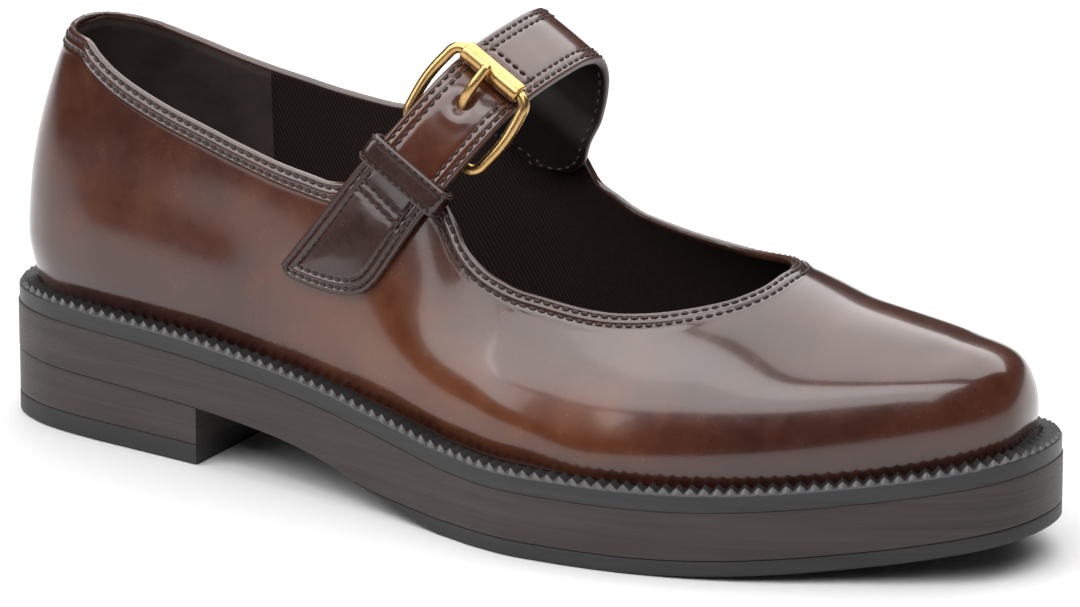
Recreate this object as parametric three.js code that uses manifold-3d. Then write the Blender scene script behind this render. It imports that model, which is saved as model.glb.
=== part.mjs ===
// Bar-strap leather shoe, right foot, on a stacked platform sole with a block heel.
// Millimetres, +Z up, toe towards +X, outer (lateral) side towards -Y.
import * as THREE from 'three';
import Module from 'manifold-3d';

// ---------------------------------------------------------------- driving sizes
const SOLE_LENGTH = 272;        // heel back to toe tip
const BALL_LATERAL = 49.3;      // sole half width at the ball, outer side
const BALL_MEDIAL = 46.2;       // sole half width at the ball, inner side
const GAP = 0.3;                // clearance between neighbouring pieces
const WALL = 2.0;               // upper: leather plus lining
const WELT_THICK = 4.1;
const OUTSOLE_THICK = 3.8;
const LIFT_THICK = 5.0;
const BREAST_X = 64;            // front face of the heel
const FLAT_FROM = 141;          // forefoot tread rests on the floor from here ...
const FLAT_TO = 185;            // ... to here, then springs up
const TOE_SPRING = 10;          // rise of the tread over SPRING_RUN
const SPRING_RUN = 90;
const OUTSOLE_FROM = 110;       // forefoot tread runs out in the arch
const HEEL_X = 1.4;             // back of the upper
const TOE_X = 267.8;            // tip of the upper
const TUCK = 1.6;               // upper drawn in at the welt
const TUCK_HEIGHT = 12;
const INSOLE_THICK = 3.0;
const STRAP_TILT = 31;          // degrees the strap plane leans forward
const STRAP_ROOT_X = 123;       // where the strap plane meets the keeper
const STRAP_ROOT_Z = 81.5;
const STRAP_THICK = 2.6;
const TAB_THICK = 2.0;
const KEEPER_WIDTH = 7.0;
const KEEPER_THICK = 1.3;
const KEEPER_FROM = -12.3;      // across the strap, back to front
const KEEPER_TO = 11.2;
const KEEPER_V = -0.6;
const WIRE_R = 1.35;            // buckle wire
const ROLLER_R = 2.6;
const ROLLER_HALF = 8.6;
const FRAME_HALF = 11.5;        // buckle half width at the wire centre
const PRONG_R = 1.25;
const FOLD_THICK = 1.2;         // tab leather folded round the buckle's bar
const FRAME_SHIFT = [-SOLE_LENGTH / 2, (BALL_LATERAL - BALL_MEDIAL) / 2, 0];

// ---------------------------------------------------------------- tables
const table = (names, rows) => Object.fromEntries(names.map((n, i) => [n, rows.map(r => r[i])]));

const SOLE = table(['x', 'lateral', 'medial'], [
  [0, 0, 0], [2, -15.5, 15.5], [5, -20.2, 20.2], [10, -23.9, 23.9], [18, -27.2, 27.0], [30, -29.4, 29.6],
  [48, -31.1, 30.6], [64, -32.6, 31.0], [84, -34.4, 31.0], [104, -37.4, 31.6], [122, -41.0, 33.6], [141, -45.5, 36.8],
  [152, -48.2, 39.0], [162, -BALL_LATERAL, 41.0], [172, -48.7, 43.2], [185, -47.0, 45.4], [200, -43.4, BALL_MEDIAL],
  [212, -39.2, 45.6], [224, -33.6, 44.0], [237, -26.6, 41.0], [249, -20.0, 37.0], [259, -13.6, 31.6],
  [266, -7.6, 25.6], [270, -1.4, 19.6], [SOLE_LENGTH, 9.0, 9.0]]);

const WELT_TOP = table(['x', 'z'], [[0, 32.4], [41, 31.4], [60, 30.6], [78, 29.0], [89, 27.9], [102, 26.3],
  [115, 24.2], [128, 22.1], [140, 20.4], [157, 19.7], [185, 19.7]]);
const ARCH = table(['x', 'z'], [[0, 16.6], [64, 14.3], [84, 12.4], [96, 10.7], [108, 7.9], [118, 4.8], [128, 2.3],
  [134, 1.0], [141, 0], [185, 0]]);

// sections of the last: half widths, ridge offset, ridge height over the welt, roundness of each side
const LAST = table(['x', 'lateral', 'medial', 'ridge', 'height', 'roundLat', 'roundMed'], [
  [HEEL_X, 0, 0, 0, 80, 2.0, 2.0], [3.4, -10.8, 10.8, 0, 80, 2.0, 2.0], [6.4, -16.4, 16.4, 0, 80, 2.0, 2.0],
  [11.5, -21.2, 21.2, 0, 80.5, 2.0, 2.0], [18, -24.2, 24.0, 0, 81, 2.0, 2.0], [30, -26.0, 25.8, 0, 82.5, 2.0, 2.0],
  [48, -27.2, 26.8, 0, 84, 2.0, 2.0], [64, -28.2, 27.2, 0.5, 86, 2.0, 2.0], [84, -29.8, 27.8, 1, 88.5, 1.95, 2.1],
  [104, -32.6, 29.0, 2, 91, 1.8, 2.3], [122, -36.0, 31.2, 3, 89, 1.64, 2.4], [141, -40.3, 33.8, 4, 77, 1.48, 2.15],
  [155, -43.2, 35.8, 4.7, 64, 1.48, 1.85], [172, -43.8, 38.6, 5.2, 53.3, 1.5, 1.8], [185, -42.4, 40.4, 5.5, 47.3, 1.63, 1.8],
  [200, -39.2, 41.2, 5.8, 43, 1.8, 1.88], [212, -35.2, 40.8, 6.2, 40.2, 1.9, 1.95], [224, -30.0, 39.4, 6.6, 37.0, 2.0, 2.0],
  [237, -23.2, 36.4, 7, 33.6, 2.1, 2.1], [249, -16.4, 32.0, 7.5, 30.0, 2.2, 2.2], [257, -10.8, 27.6, 8, 26.0, 2.25, 2.25],
  [263, -5.0, 22.4, 8.4, 20.4, 2.3, 2.3], [266.2, 0.6, 17.0, 8.7, 12.6, 2.3, 2.3], [TOE_X, 8.8, 8.8, 8.8, 0, 2.3, 2.3]]);

// the back curve: how far the counter leans forward at each height
const BACK = table(['z', 'lean'], [[28, 0.8], [36, 0.2], [46, 0], [58, 0.6], [68, 2.0], [78, 4.3], [88, 7.2], [96, 10], [110, 14]]);
const LEAN_RUN = 95;

// topline, heel to vamp; foot = where the same station stands on the welt
const COLLAR_LAT = table(['x', 'z', 'foot'], [[HEEL_X, 95.2, HEEL_X], [14.7, 94.6, 14.7], [21.1, 92.0, 21.1], [28, 89.2, 28],
  [36.3, 86.5, 36.3], [54.1, 81.9, 54.1], [71.3, 78.0, 71.3], [87.9, 74.9, 87.9], [96, 73.8, 96.5], [101.5, 74.0, 102.5], [106, 76.2, 107.5],
  [111, 80.6, 113.5], [117.5, 84.0, 121], [124, 82.0, 130]]);
const THROAT_LAT = table(['x', 'y', 'foot'], [[129.4, -24.6, 140], [133.0, -25.6, 149], [137.4, -27.2, 158], [142.8, -28.2, 168], [148.8, -28.5, 177],
  [157, -27.6, 189], [170, -25.5, 206], [183, -21.8, 224], [194, -16.4, 243], [200.4, -10.8, 255], [204, -3.0, 263.6], [204.6, 5.9, TOE_X]]);
const COLLAR_MED = table(['x', 'z', 'foot'], [[HEEL_X, 95.2, HEEL_X], [6.4, 93.8, 6.4], [16.2, 91.4, 16.2], [25.9, 88.8, 25.9],
  [36.3, 86.4, 36.3], [54, 83.2, 54], [73.2, 80.2, 73.2], [87.8, 78.8, 88], [97, 79.2, 97.5], [105, 81.0, 106], [113, 83.2, 115], [121, 84.2, 124], [128, 83.4, 132.5], [134, 79.6, 140]]);
const THROAT_MED = table(['x', 'y', 'foot'], [[138.2, 27.8, 148], [141.8, 29.0, 157], [147.3, 28.7, 167], [154, 27.8, 178], [161.4, 27.4, 188], [170, 26.8, 199],
  [180, 25.2, 213], [190, 22.0, 230], [199, 16.2, 248], [203.8, 10, 261], [204.6, 5.9, TOE_X]]);

// strap in its own plane: y across the shoe, v up the plane, edges to back and front of the plane
const STRAP = table(['y', 'v', 'back', 'front'], [[-32.2, -3.6, -10.3, 9.1], [-31.2, -0.6, -10.3, 9.1], [-29.2, 4.6, -10.1, 9.2], [-26.8, 9.8, -9.8, 9.4],
  [-23.8, 15, -9.6, 9.5], [-20.0, 20, -9.5, 9.5], [-15.0, 23.8, -9.5, 9.5], [-8, 26.9, -9.5, 9.5], [2, 29.1, -9.5, 9.5], [11, 30.2, -9.5, 9.6],
  [17, 29.6, -9.6, 10.0], [21.8, 26.8, -9.8, 11.2], [24.6, 21.6, -10.2, 13.2], [25.6, 15, -11, 15.2], [25.6, 8, -12, 17.0], [25.6, 2, -12.6, 18.2], [25.8, -4, -12.4, 17.6], [26, -9, -10, 14]]);
// tab on the outer quarter: across from back (0) to front (1), where its end lies
const TAB_END = table(['across', 'v'], [[0, -42.2], [0.04, -43.0], [0.1, -43.3], [0.3, -41.8], [0.57, -38.7], [0.82, -34.8], [0.96, -30.3], [1, -26.5]]);
const TAB_EDGE = table(['v', 'back', 'front'], [[-44, -16.2, 7.6], [-27, -14.2, 7.6], [-10, -13.0, 7.5], [3, -11.6, 7.6]]);
const TAB_TOP = 1.2;

// ---------------------------------------------------------------- helpers
const clamp = (v, a, b) => Math.min(b, Math.max(a, v));
const smooth = (a, b, v) => { const t = clamp((v - a) / (b - a), 0, 1); return t * t * (3 - 2 * t); };
const mixPoint = (p, q, t) => p.map((v, i) => v + (q[i] - v) * t);
const dist = (p, q) => Math.hypot(...p.map((v, i) => v - q[i]));
const unit = p => { const l = Math.hypot(...p) || 1; return p.map(v => v / l); };

// smooth curve through rows without overshoot
function curve(xs, ys) {
  const n = xs.length, h = [], d = [], m = new Array(n).fill(0);
  for (let i = 0; i < n - 1; i++) { h.push(xs[i + 1] - xs[i]); d.push((ys[i + 1] - ys[i]) / h[i]); }
  m[0] = d[0]; m[n - 1] = d[n - 2];
  for (let i = 1; i < n - 1; i++) if (d[i - 1] * d[i] > 0) {
    const a = 2 * h[i] + h[i - 1], b = h[i] + 2 * h[i - 1];
    m[i] = (a + b) / (a / d[i - 1] + b / d[i]);
  }
  return v => {
    const x = clamp(v, xs[0], xs[n - 1]);
    let i = 0; while (i < n - 2 && x >= xs[i + 1]) i++;
    const t = (x - xs[i]) / h[i], u = 1 - t;
    return ys[i] * (1 + 2 * t) * u * u + m[i] * h[i] * t * u * u + ys[i + 1] * t * t * (3 - 2 * t) - m[i + 1] * h[i] * t * t * u;
  };
}
// girth variable: runs evenly round both rounded ends
const girth = (x, a, b) => Math.acos(clamp(1 - 2 * (x - a) / (b - a), -1, 1));
const overGirth = (xs, ys, a, b) => { const f = curve(xs.map(x => girth(x, a, b)), ys); return x => f(girth(x, a, b)); };

function toGeometry(points, triangles) {
  const g = new THREE.BufferGeometry();
  g.setAttribute('position', new THREE.BufferAttribute(new Float32Array(points.flat()), 3));
  let volume = 0;
  for (const [a, b, c] of triangles) {
    const p = points[a], q = points[b], r = points[c];
    volume += p[0] * (q[1] * r[2] - q[2] * r[1]) - p[1] * (q[0] * r[2] - q[2] * r[0]) + p[2] * (q[0] * r[1] - q[1] * r[0]);
  }
  g.setIndex((volume < 0 ? triangles.map(([a, b, c]) => [a, c, b]) : triangles).flat());
  return g;
}
// solid between two matching grids of points; ring = the first index closes on itself
function shell(outer, inner, ring = false) {
  const n = outer.length, m = outer[0].length, pts = [...outer.flat(), ...inner.flat()], tri = [], off = n * m;
  const id = (i, j) => ((i + n) % n) * m + j;
  const quad = (a, b, c, d) => { tri.push([a, b, c], [a, c, d]); };
  const last = ring ? n : n - 1;
  for (let i = 0; i < last; i++) for (let j = 0; j < m - 1; j++) {
    quad(id(i, j), id(i + 1, j), id(i + 1, j + 1), id(i, j + 1));
    quad(off + id(i, j), off + id(i, j + 1), off + id(i + 1, j + 1), off + id(i + 1, j));
  }
  for (let i = 0; i < last; i++) {
    quad(id(i, 0), off + id(i, 0), off + id(i + 1, 0), id(i + 1, 0));
    quad(id(i, m - 1), id(i + 1, m - 1), off + id(i + 1, m - 1), off + id(i, m - 1));
  }
  if (!ring) for (let j = 0; j < m - 1; j++) {
    quad(id(0, j), id(0, j + 1), off + id(0, j + 1), off + id(0, j));
    quad(id(n - 1, j), off + id(n - 1, j), off + id(n - 1, j + 1), id(n - 1, j + 1));
  }
  return toGeometry(pts, tri);
}
// closed tube of a round section along a closed path
function ringTube(path, radius, sides) {
  const n = path.length, centre = path.reduce((s, p) => s.map((v, k) => v + p[k] / n), [0, 0, 0]);
  const rel = path.map(p => p.map((v, k) => v - centre[k]));
  const up = unit(rel.reduce((s, p, i) => { const q = rel[(i + 1) % n]; return [s[0] + p[1] * q[2] - p[2] * q[1], s[1] + p[2] * q[0] - p[0] * q[2], s[2] + p[0] * q[1] - p[1] * q[0]]; }, [0, 0, 0]));
  const pts = [], tri = [];
  for (let i = 0; i < n; i++) {
    const t = unit(path[(i + 1) % n].map((v, k) => v - path[(i - 1 + n) % n][k]));
    const out = unit([t[1] * up[2] - t[2] * up[1], t[2] * up[0] - t[0] * up[2], t[0] * up[1] - t[1] * up[0]]);
    for (let k = 0; k < sides; k++) {
      const a = 2 * Math.PI * k / sides, c = Math.cos(a) * radius, s = Math.sin(a) * radius;
      pts.push(path[i].map((v, j) => v + out[j] * c + up[j] * s));
    }
  }
  for (let i = 0; i < n; i++) for (let k = 0; k < sides; k++) {
    const a = i * sides + k, b = i * sides + (k + 1) % sides, c = ((i + 1) % n) * sides + (k + 1) % sides, d = ((i + 1) % n) * sides + k;
    tri.push([a, b, c], [a, c, d]);
  }
  return toGeometry(pts, tri);
}
// round bar along an open path, flat ends
function bar(path, radius, sides, side) {
  const pts = [], tri = [], n = path.length;
  for (let i = 0; i < n; i++) {
    const t = unit(path[Math.min(i + 1, n - 1)].map((v, k) => v - path[Math.max(i - 1, 0)][k]));
    const out = unit([t[1] * side[2] - t[2] * side[1], t[2] * side[0] - t[0] * side[2], t[0] * side[1] - t[1] * side[0]]);
    const r = typeof radius === 'function' ? radius(i / (n - 1)) : radius;
    for (let k = 0; k < sides; k++) {
      const a = 2 * Math.PI * k / sides;
      pts.push(path[i].map((v, j) => v + out[j] * Math.cos(a) * r + side[j] * Math.sin(a) * r));
    }
  }
  pts.push(path[0], path[n - 1]);
  for (let i = 0; i < n - 1; i++) for (let k = 0; k < sides; k++) {
    const a = i * sides + k, b = i * sides + (k + 1) % sides;
    tri.push([a, b, b + sides], [a, b + sides, a + sides]);
  }
  for (let k = 0; k < sides; k++) {
    tri.push([n * sides, (k + 1) % sides, k]);
    tri.push([n * sides + 1, (n - 1) * sides + k, (n - 1) * sides + (k + 1) % sides]);
  }
  return toGeometry(pts, tri);
}

// ---------------------------------------------------------------- sole
const soleLat = overGirth(SOLE.x, SOLE.lateral, 0, SOLE_LENGTH);
const soleMed = overGirth(SOLE.x, SOLE.medial, 0, SOLE_LENGTH);
const weltRun = curve(WELT_TOP.x, WELT_TOP.z), archRun = curve(ARCH.x, ARCH.z);
const spring = x => TOE_SPRING * Math.max(0, (x - FLAT_TO) / SPRING_RUN) ** 2;
const weltTop = x => weltRun(x) + spring(x);
const tread = x => archRun(x) + spring(x);                       // underside of the whole platform
const outsoleTop = x => tread(x) + OUTSOLE_THICK * smooth(OUTSOLE_FROM, OUTSOLE_FROM + 34, x);
const midsoleBottom = x => x < OUTSOLE_FROM ? tread(x) : outsoleTop(x) + 0.12 * smooth(OUTSOLE_FROM, OUTSOLE_FROM + 4, x);

// layer of the sole between two heights, over a run of the outline
function layer(from, to, bottom, top, steps, stations = []) {
  const ga = girth(from, 0, SOLE_LENGTH), gb = girth(to, 0, SOLE_LENGTH);
  const xs = [];
  for (let i = 0; i <= steps; i++) xs.push(SOLE_LENGTH * (1 - Math.cos(ga + (gb - ga) * i / steps)) / 2);
  for (const s of stations) {                                     // put a station exactly on a named x
    let k = 1; for (let i = 1; i < steps; i++) if (Math.abs(xs[i] - s) < Math.abs(xs[k] - s)) k = i;
    xs[k] = s;
  }
  const pts = [], tri = [], rows = [];
  for (const x of xs) {
    const y0 = soleLat(x), y1 = soleMed(x), zb = bottom(x), zt = top(x), flat = y1 - y0 < 1e-6;
    const at = pts.length;
    if (flat) { pts.push([x, y0, zb], [x, y0, zt]); rows.push([at, at, at + 1, at + 1]); }
    else { pts.push([x, y0, zb], [x, y1, zb], [x, y1, zt], [x, y0, zt]); rows.push([at, at + 1, at + 2, at + 3]); }
  }
  const add = (a, b, c) => { if (a !== b && b !== c && a !== c) tri.push([a, b, c]); };
  for (let i = 0; i < rows.length - 1; i++) for (let k = 0; k < 4; k++) {
    const [a, b] = [rows[i][k], rows[i][(k + 1) % 4]], [d, c] = [rows[i + 1][k], rows[i + 1][(k + 1) % 4]];
    add(a, c, b); add(a, d, c);
  }
  for (const [r, s] of [[rows[0], 1], [rows[rows.length - 1], -1]]) if (r[0] !== r[1]) {
    if (s > 0) { add(r[0], r[1], r[2]); add(r[0], r[2], r[3]); } else { add(r[0], r[2], r[1]); add(r[0], r[3], r[2]); }
  }
  return toGeometry(pts, tri);
}
const SEAM = 0.12;                                                 // cemented joints of the sole stack
const outsole = layer(OUTSOLE_FROM + 3, SOLE_LENGTH, tread, outsoleTop, 44, [FLAT_FROM, FLAT_TO]);
const midsole = layer(0, SOLE_LENGTH, midsoleBottom, x => weltTop(x) - WELT_THICK - SEAM, 64, [BREAST_X, OUTSOLE_FROM]);
const welt = layer(0, SOLE_LENGTH, x => weltTop(x) - WELT_THICK, weltTop, 64, []);
const heelBlock = layer(0, BREAST_X, () => LIFT_THICK + SEAM, x => archRun(x) - SEAM, 26);
const heelLift = layer(0, BREAST_X, () => 0, () => LIFT_THICK, 26);

// ---------------------------------------------------------------- upper over the last
const lastCol = name => overGirth(LAST.x, LAST[name], HEEL_X, TOE_X);
const lastLat = lastCol('lateral'), lastMed = lastCol('medial'), lastRidge = lastCol('ridge'), lastHeight = lastCol('height');
const lastRoundLat = lastCol('roundLat'), lastRoundMed = lastCol('roundMed');
const featherZ = x => weltTop(x) + GAP;
function section(x, side) {
  const yc = lastRidge(x);
  return { yc, w: Math.max(1e-6, side < 0 ? yc - lastLat(x) : lastMed(x) - yc), h: lastHeight(x), p: side < 0 ? lastRoundLat(x) : lastRoundMed(x), z: featherZ(x) };
}
function lastZ(x, y, side) {
  const s = section(x, side), e = clamp(Math.abs(y - s.yc) / s.w, 0, 1);
  return s.z + s.h * Math.max(0, 1 - e ** s.p) ** (1 / s.p);
}
function lastY(x, z, side) {
  const s = section(x, side), k = clamp((z - s.z) / s.h, 0, 1);
  return s.yc + side * s.w * Math.max(0, 1 - k ** s.p) ** (1 / s.p);
}
const backRun = curve(BACK.z, BACK.lean);
const lean = (x, z) => backRun(z) * clamp(1 - (x - HEEL_X) / LEAN_RUN, 0, 1) ** 1.3;

// one side of the topline as functions of its own length: x, angle round the section, foot on the welt
function toplineSide(collar, throat, side) {
  const rows = [];
  collar.x.forEach((x, i) => { const s = section(x, side); rows.push([x, Math.asin(clamp((collar.z[i] - s.z) / s.h, 0, 1) ** (s.p / 2)), collar.foot[i]]); });
  throat.x.forEach((x, i) => { const s = section(x, side); rows.push([x, Math.acos(clamp(Math.abs(throat.y[i] - s.yc) / s.w, 0, 1) ** (s.p / 2)), throat.foot[i]]); });
  const at = (x, a) => { const s = section(x, side); return [x, s.yc + side * s.w * Math.max(0, Math.cos(a)) ** (2 / s.p), s.z + s.h * Math.max(0, Math.sin(a)) ** (2 / s.p)]; };
  const run = [0];
  for (let i = 1; i < rows.length; i++) run.push(run[i - 1] + dist(at(rows[i][0], rows[i][1]), at(rows[i - 1][0], rows[i - 1][1])));
  const t = run.map(v => v / run[run.length - 1]);
  const fx = curve(t, rows.map(r => r[0])), fa = curve(t, rows.map(r => r[1])), ff = curve(t, rows.map(r => r[2]));
  return { top: s => at(fx(s), fa(s)), foot: ff };
}
// column of the upper's outer face from the welt to the topline
function column(foot, top, side, outward, rows) {
  const dense = 120, path = [];
  for (let k = 0; k <= dense; k++) {
    const u = (k / dense) ** 2.2;
    const x = foot[0] + (top[0] - foot[0]) * u, y = foot[1] + (top[1] - foot[1]) * u;
    const z = outward[2] ? foot[2] + (top[2] - foot[2]) * k / dense : lastZ(x, y, side);
    const tuck = TUCK * Math.max(0, 1 - (z - featherZ(x)) / TUCK_HEIGHT) ** 2;
    path.push([x + lean(x, z) - outward[0] * tuck, y - outward[1] * tuck, z]);
  }
  const run = [0]; for (let k = 1; k <= dense; k++) run.push(run[k - 1] + dist(path[k], path[k - 1]));
  const out = [];
  for (let j = 0, k = 0; j <= rows; j++) {
    const d = run[dense] * j / rows;
    while (k < dense - 1 && run[k + 1] < d) k++;
    out.push(mixPoint(path[k], path[k + 1], clamp((d - run[k]) / (run[k + 1] - run[k] || 1), 0, 1)));
  }
  return out;
}
function upperGrid(perSide, rows) {
  const half = [];
  for (const [collar, throat, side] of [[COLLAR_LAT, THROAT_LAT, -1], [COLLAR_MED, THROAT_MED, 1]]) {
    const line = toplineSide(collar, throat, side), feet = [], tops = [];
    for (let i = 0; i <= perSide; i++) {
      const s = i / perSide, x = line.foot(s), sec = section(x, side);
      feet.push([x, sec.yc + side * sec.w, sec.z]); tops.push(line.top(s));
    }
    half.push(feet.map((f, i) => {
      const a = feet[Math.max(0, i - 1)], b = feet[Math.min(perSide, i + 1)];
      let n = unit([-(b[1] - a[1]) * side, (b[0] - a[0]) * side]);
      if (i === 0) n = [-1, 0]; if (i === perSide) n = [1, 0];
      return column(f, tops[i], side, [n[0], n[1], i === 0], rows);
    }));
  }
  return [...half[0], ...half[1].reverse().slice(1, -1)];
}
function gridNormals(g) {
  const n = g.length, m = g[0].length;
  return g.map((col, i) => col.map((p, j) => {
    const a = g[(i + 1) % n][j], b = g[(i - 1 + n) % n][j], c = col[Math.min(j + 1, m - 1)], d = col[Math.max(j - 1, 0)];
    const u = a.map((v, k) => v - b[k]), w = c.map((v, k) => v - d[k]);
    return unit([u[1] * w[2] - u[2] * w[1], u[2] * w[0] - u[0] * w[2], u[0] * w[1] - u[1] * w[0]]);
  }));
}
const PER_SIDE = 52, ROWS = 13;
const upperOuter = upperGrid(PER_SIDE, ROWS);
const upperNormal = gridNormals(upperOuter);
const upperInner = upperOuter.map((col, i) => col.map((p, j) => {
  let n = upperNormal[i][j];
  if (j === 0) n = unit([n[0], n[1], 0]);
  return p.map((v, k) => v - n[k] * WALL);
}));
const upper = shell(upperOuter, upperInner, true);

// insole: lies on the welt inside the upper
const insole = (() => {
  const inset = 0.5, loop = upperInner.map((col, i) => { const n = unit([upperNormal[i][0][0], upperNormal[i][0][1], 0]); return [col[0][0] - n[0] * inset, col[0][1] - n[1] * inset]; });
  const n = loop.length, pts = [], tri = [], half = n / 2;
  for (const up of [0, 1]) for (const [x, y] of loop) pts.push([x, y, weltTop(x) + GAP + up * INSOLE_THICK]);
  for (let i = 0; i < half; i++) {
    const a = i, b = i + 1, c = (n - i - 1) % n, d = (n - i) % n;
    for (const [p, q, r] of [[a, b, c], [a, c, d]]) if (p !== q && q !== r && p !== r) { tri.push([p, r, q]); tri.push([n + p, n + q, n + r]); }
  }
  for (let i = 0; i < n; i++) { const j = (i + 1) % n; tri.push([i, j, n + j], [i, n + j, n + i]); }
  return toGeometry(pts, tri);
})();

// ---------------------------------------------------------------- strap, tab, keeper
const TILT = STRAP_TILT * Math.PI / 180;
const ACROSS = [Math.cos(TILT), 0, -Math.sin(TILT)], UPWARD = [Math.sin(TILT), 0, Math.cos(TILT)];
const onPlane = (y, v, w) => [STRAP_ROOT_X + w * ACROSS[0] + v * UPWARD[0], y, STRAP_ROOT_Z + w * ACROSS[2] + v * UPWARD[2]];

function strapRows(steps) {
  const run = [0];
  for (let i = 1; i < STRAP.y.length; i++) run.push(run[i - 1] + Math.hypot(STRAP.y[i] - STRAP.y[i - 1], STRAP.v[i] - STRAP.v[i - 1]));
  const len = run[run.length - 1], f = n => curve(run, STRAP[n]);
  const fy = f('y'), fv = f('v'), fb = f('back'), ff = f('front'), rows = [];
  for (let i = 0; i <= steps; i++) {
    const d = len * i / steps, e = 0.4, ty = fy(Math.min(len, d + e)) - fy(Math.max(0, d - e)), tv = fv(Math.min(len, d + e)) - fv(Math.max(0, d - e)), l = Math.hypot(ty, tv);
    rows.push({ y: fy(d), v: fv(d), back: fb(d), front: ff(d), ny: -tv / l, nv: ty / l });
  }
  return rows;
}
const EAR_REACH = [3, 12];                                         // strap comes off the inner ear over this run
const MED_CLEAR = WALL * 1.25 + GAP;
function strapFaces(steps, across) {
  const outer = [], inner = [];
  strapRows(steps).forEach((r, i) => {
    const o = [], n = [];
    for (let k = 0; k <= across; k++) {
      const w = r.back + (r.front - r.back) * k / across;
      let p = onPlane(r.y, r.v, w);
      if (r.y > 10) {
        const wall = lastY(p[0], p[2], 1) - MED_CLEAR, hold = 1 - smooth(EAR_REACH[0], EAR_REACH[1], r.v);
        p[1] += (Math.min(p[1], wall) - p[1]) * hold;
      }
      o.push(p);
      n.push([p[0] - r.nv * STRAP_THICK * UPWARD[0], p[1] - r.ny * STRAP_THICK, p[2] - r.nv * STRAP_THICK * UPWARD[2]]);
    }
    outer.push(o); inner.push(n);
  });
  return [outer, inner];
}
const [strapOuter, strapInner] = strapFaces(44, 6);
const strapSolid = shell(strapOuter, strapInner);

// outer quarter surface with its normal, found along Y
function quarterPoint(x, z, lift) {
  const e = 0.6, y = lastY(x, z, -1);
  const dx = (lastY(x + e, z, -1) - lastY(x - e, z, -1)) / (2 * e), dz = (lastY(x, z + e, -1) - lastY(x, z - e, -1)) / (2 * e);
  const n = unit([dx, -1, dz]);
  return [x + n[0] * lift, y + n[1] * lift, z + n[2] * lift];
}
const tabBack = curve(TAB_EDGE.v, TAB_EDGE.back), tabFront = curve(TAB_EDGE.v, TAB_EDGE.front), tabEnd = curve(TAB_END.across, TAB_END.v);
function tabFaces(steps, across) {
  const low = [], high = [];
  for (let i = 0; i <= across; i++) {
    const f = i / across, a = [], b = [];
    for (let k = 0; k <= steps; k++) {
      const v = tabEnd(f) + (TAB_TOP - tabEnd(f)) * k / steps;
      const [x, , z] = onPlane(0, v, tabBack(v) + (tabFront(v) - tabBack(v)) * f);
      a.push(quarterPoint(x, z, GAP + 0.1)); b.push(quarterPoint(x, z, GAP + 0.1 + TAB_THICK));
    }
    low.push(a); high.push(b);
  }
  return [low, high];
}
const [tabLow, tabHigh] = tabFaces(17, 14);
const tabSheet = shell(tabHigh, tabLow);

// frame of the strap where the keeper and buckle sit
function strapAt(v) {
  const rows = strapRows(240).filter(r => r.y < -5);
  return rows.reduce((b, r) => Math.abs(r.v - v) < Math.abs(b.v - v) ? r : b);
}
const offPlane = (r, out, along, w) => onPlane(r.y + r.ny * out + r.nv * along, r.v + r.nv * out - r.ny * along, w);
const keeperSeat = strapAt(KEEPER_V);
const keeper = (() => {
  const T = KEEPER_THICK, round = 0.5, lo = -STRAP_THICK - GAP, hi = GAP, a = KEEPER_FROM + T, b = KEEPER_TO - T;
  const corners = table(['w', 'out'], [[a + round, lo + round], [b - round, lo + round], [b - round, hi - round], [a + round, hi - round]]);
  const ring = radius => corners.w.flatMap((w, c) => [0, 1, 2, 3].map(k => {
    const ang = (c * 90 + 180 + k * 30) * Math.PI / 180, at = [w + radius * Math.cos(ang), corners.out[c] + radius * Math.sin(ang)];
    return [-0.5, 0.5].map(s => offPlane(keeperSeat, at[1], s * KEEPER_WIDTH, at[0]));
  }));
  return shell(ring(round + T), ring(round), true);
})();

// ---------------------------------------------------------------- buckle
const rollerSeat = strapAt(24.3);
const rollerCentre = { y: rollerSeat.y + rollerSeat.ny * (ROLLER_R + GAP + 0.1), v: rollerSeat.v + rollerSeat.nv * (ROLLER_R + GAP + 0.1) };
const heelBarSeat = strapAt(9);
const BAR_DEPTH = STRAP_THICK + WIRE_R + FOLD_THICK + 2 * GAP;
const heelBar = { y: heelBarSeat.y - heelBarSeat.ny * BAR_DEPTH, v: heelBarSeat.v - heelBarSeat.nv * BAR_DEPTH };
const onFrame = (t, w, lift = 0) => {
  const dy = heelBar.y - rollerCentre.y, dv = heelBar.v - rollerCentre.v, l = Math.hypot(dy, dv);
  const ny = dv / l, nv = -dy / l;
  return onPlane(rollerCentre.y + dy * t + ny * lift, rollerCentre.v + dv * t + nv * lift, w);
};
const frameLength = Math.hypot(heelBar.y - rollerCentre.y, heelBar.v - rollerCentre.v);
const buckleFrame = (() => {
  const path = [], R = 3.2, n = 5, bow = 0.8;
  const corner = (cw, ct, from) => { for (let k = 0; k <= n; k++) { const a = (from + 90 * k / n) * Math.PI / 180; path.push([cw + R * Math.cos(a), ct + R * Math.sin(a)]); } };
  const L = frameLength, H = FRAME_HALF;
  corner(H - R, L - R, 0); for (const w of [4, -4]) path.push([w, L]);
  corner(-(H - R), L - R, 90); for (const k of [0.25, 0.5, 0.75]) path.push([-H - bow * Math.sin(Math.PI * k), (L - R) + (R - (L - R)) * k]);
  corner(-(H - R), R, 180); for (const w of [-4, 4]) path.push([w, 0]);
  corner(H - R, R, 270); for (const k of [0.25, 0.5, 0.75]) path.push([H + bow * Math.sin(Math.PI * k), R + (L - 2 * R) * k]);
  return ringTube(path.map(([w, d]) => onFrame(d / L, w)), WIRE_R, 8);
})();
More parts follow.
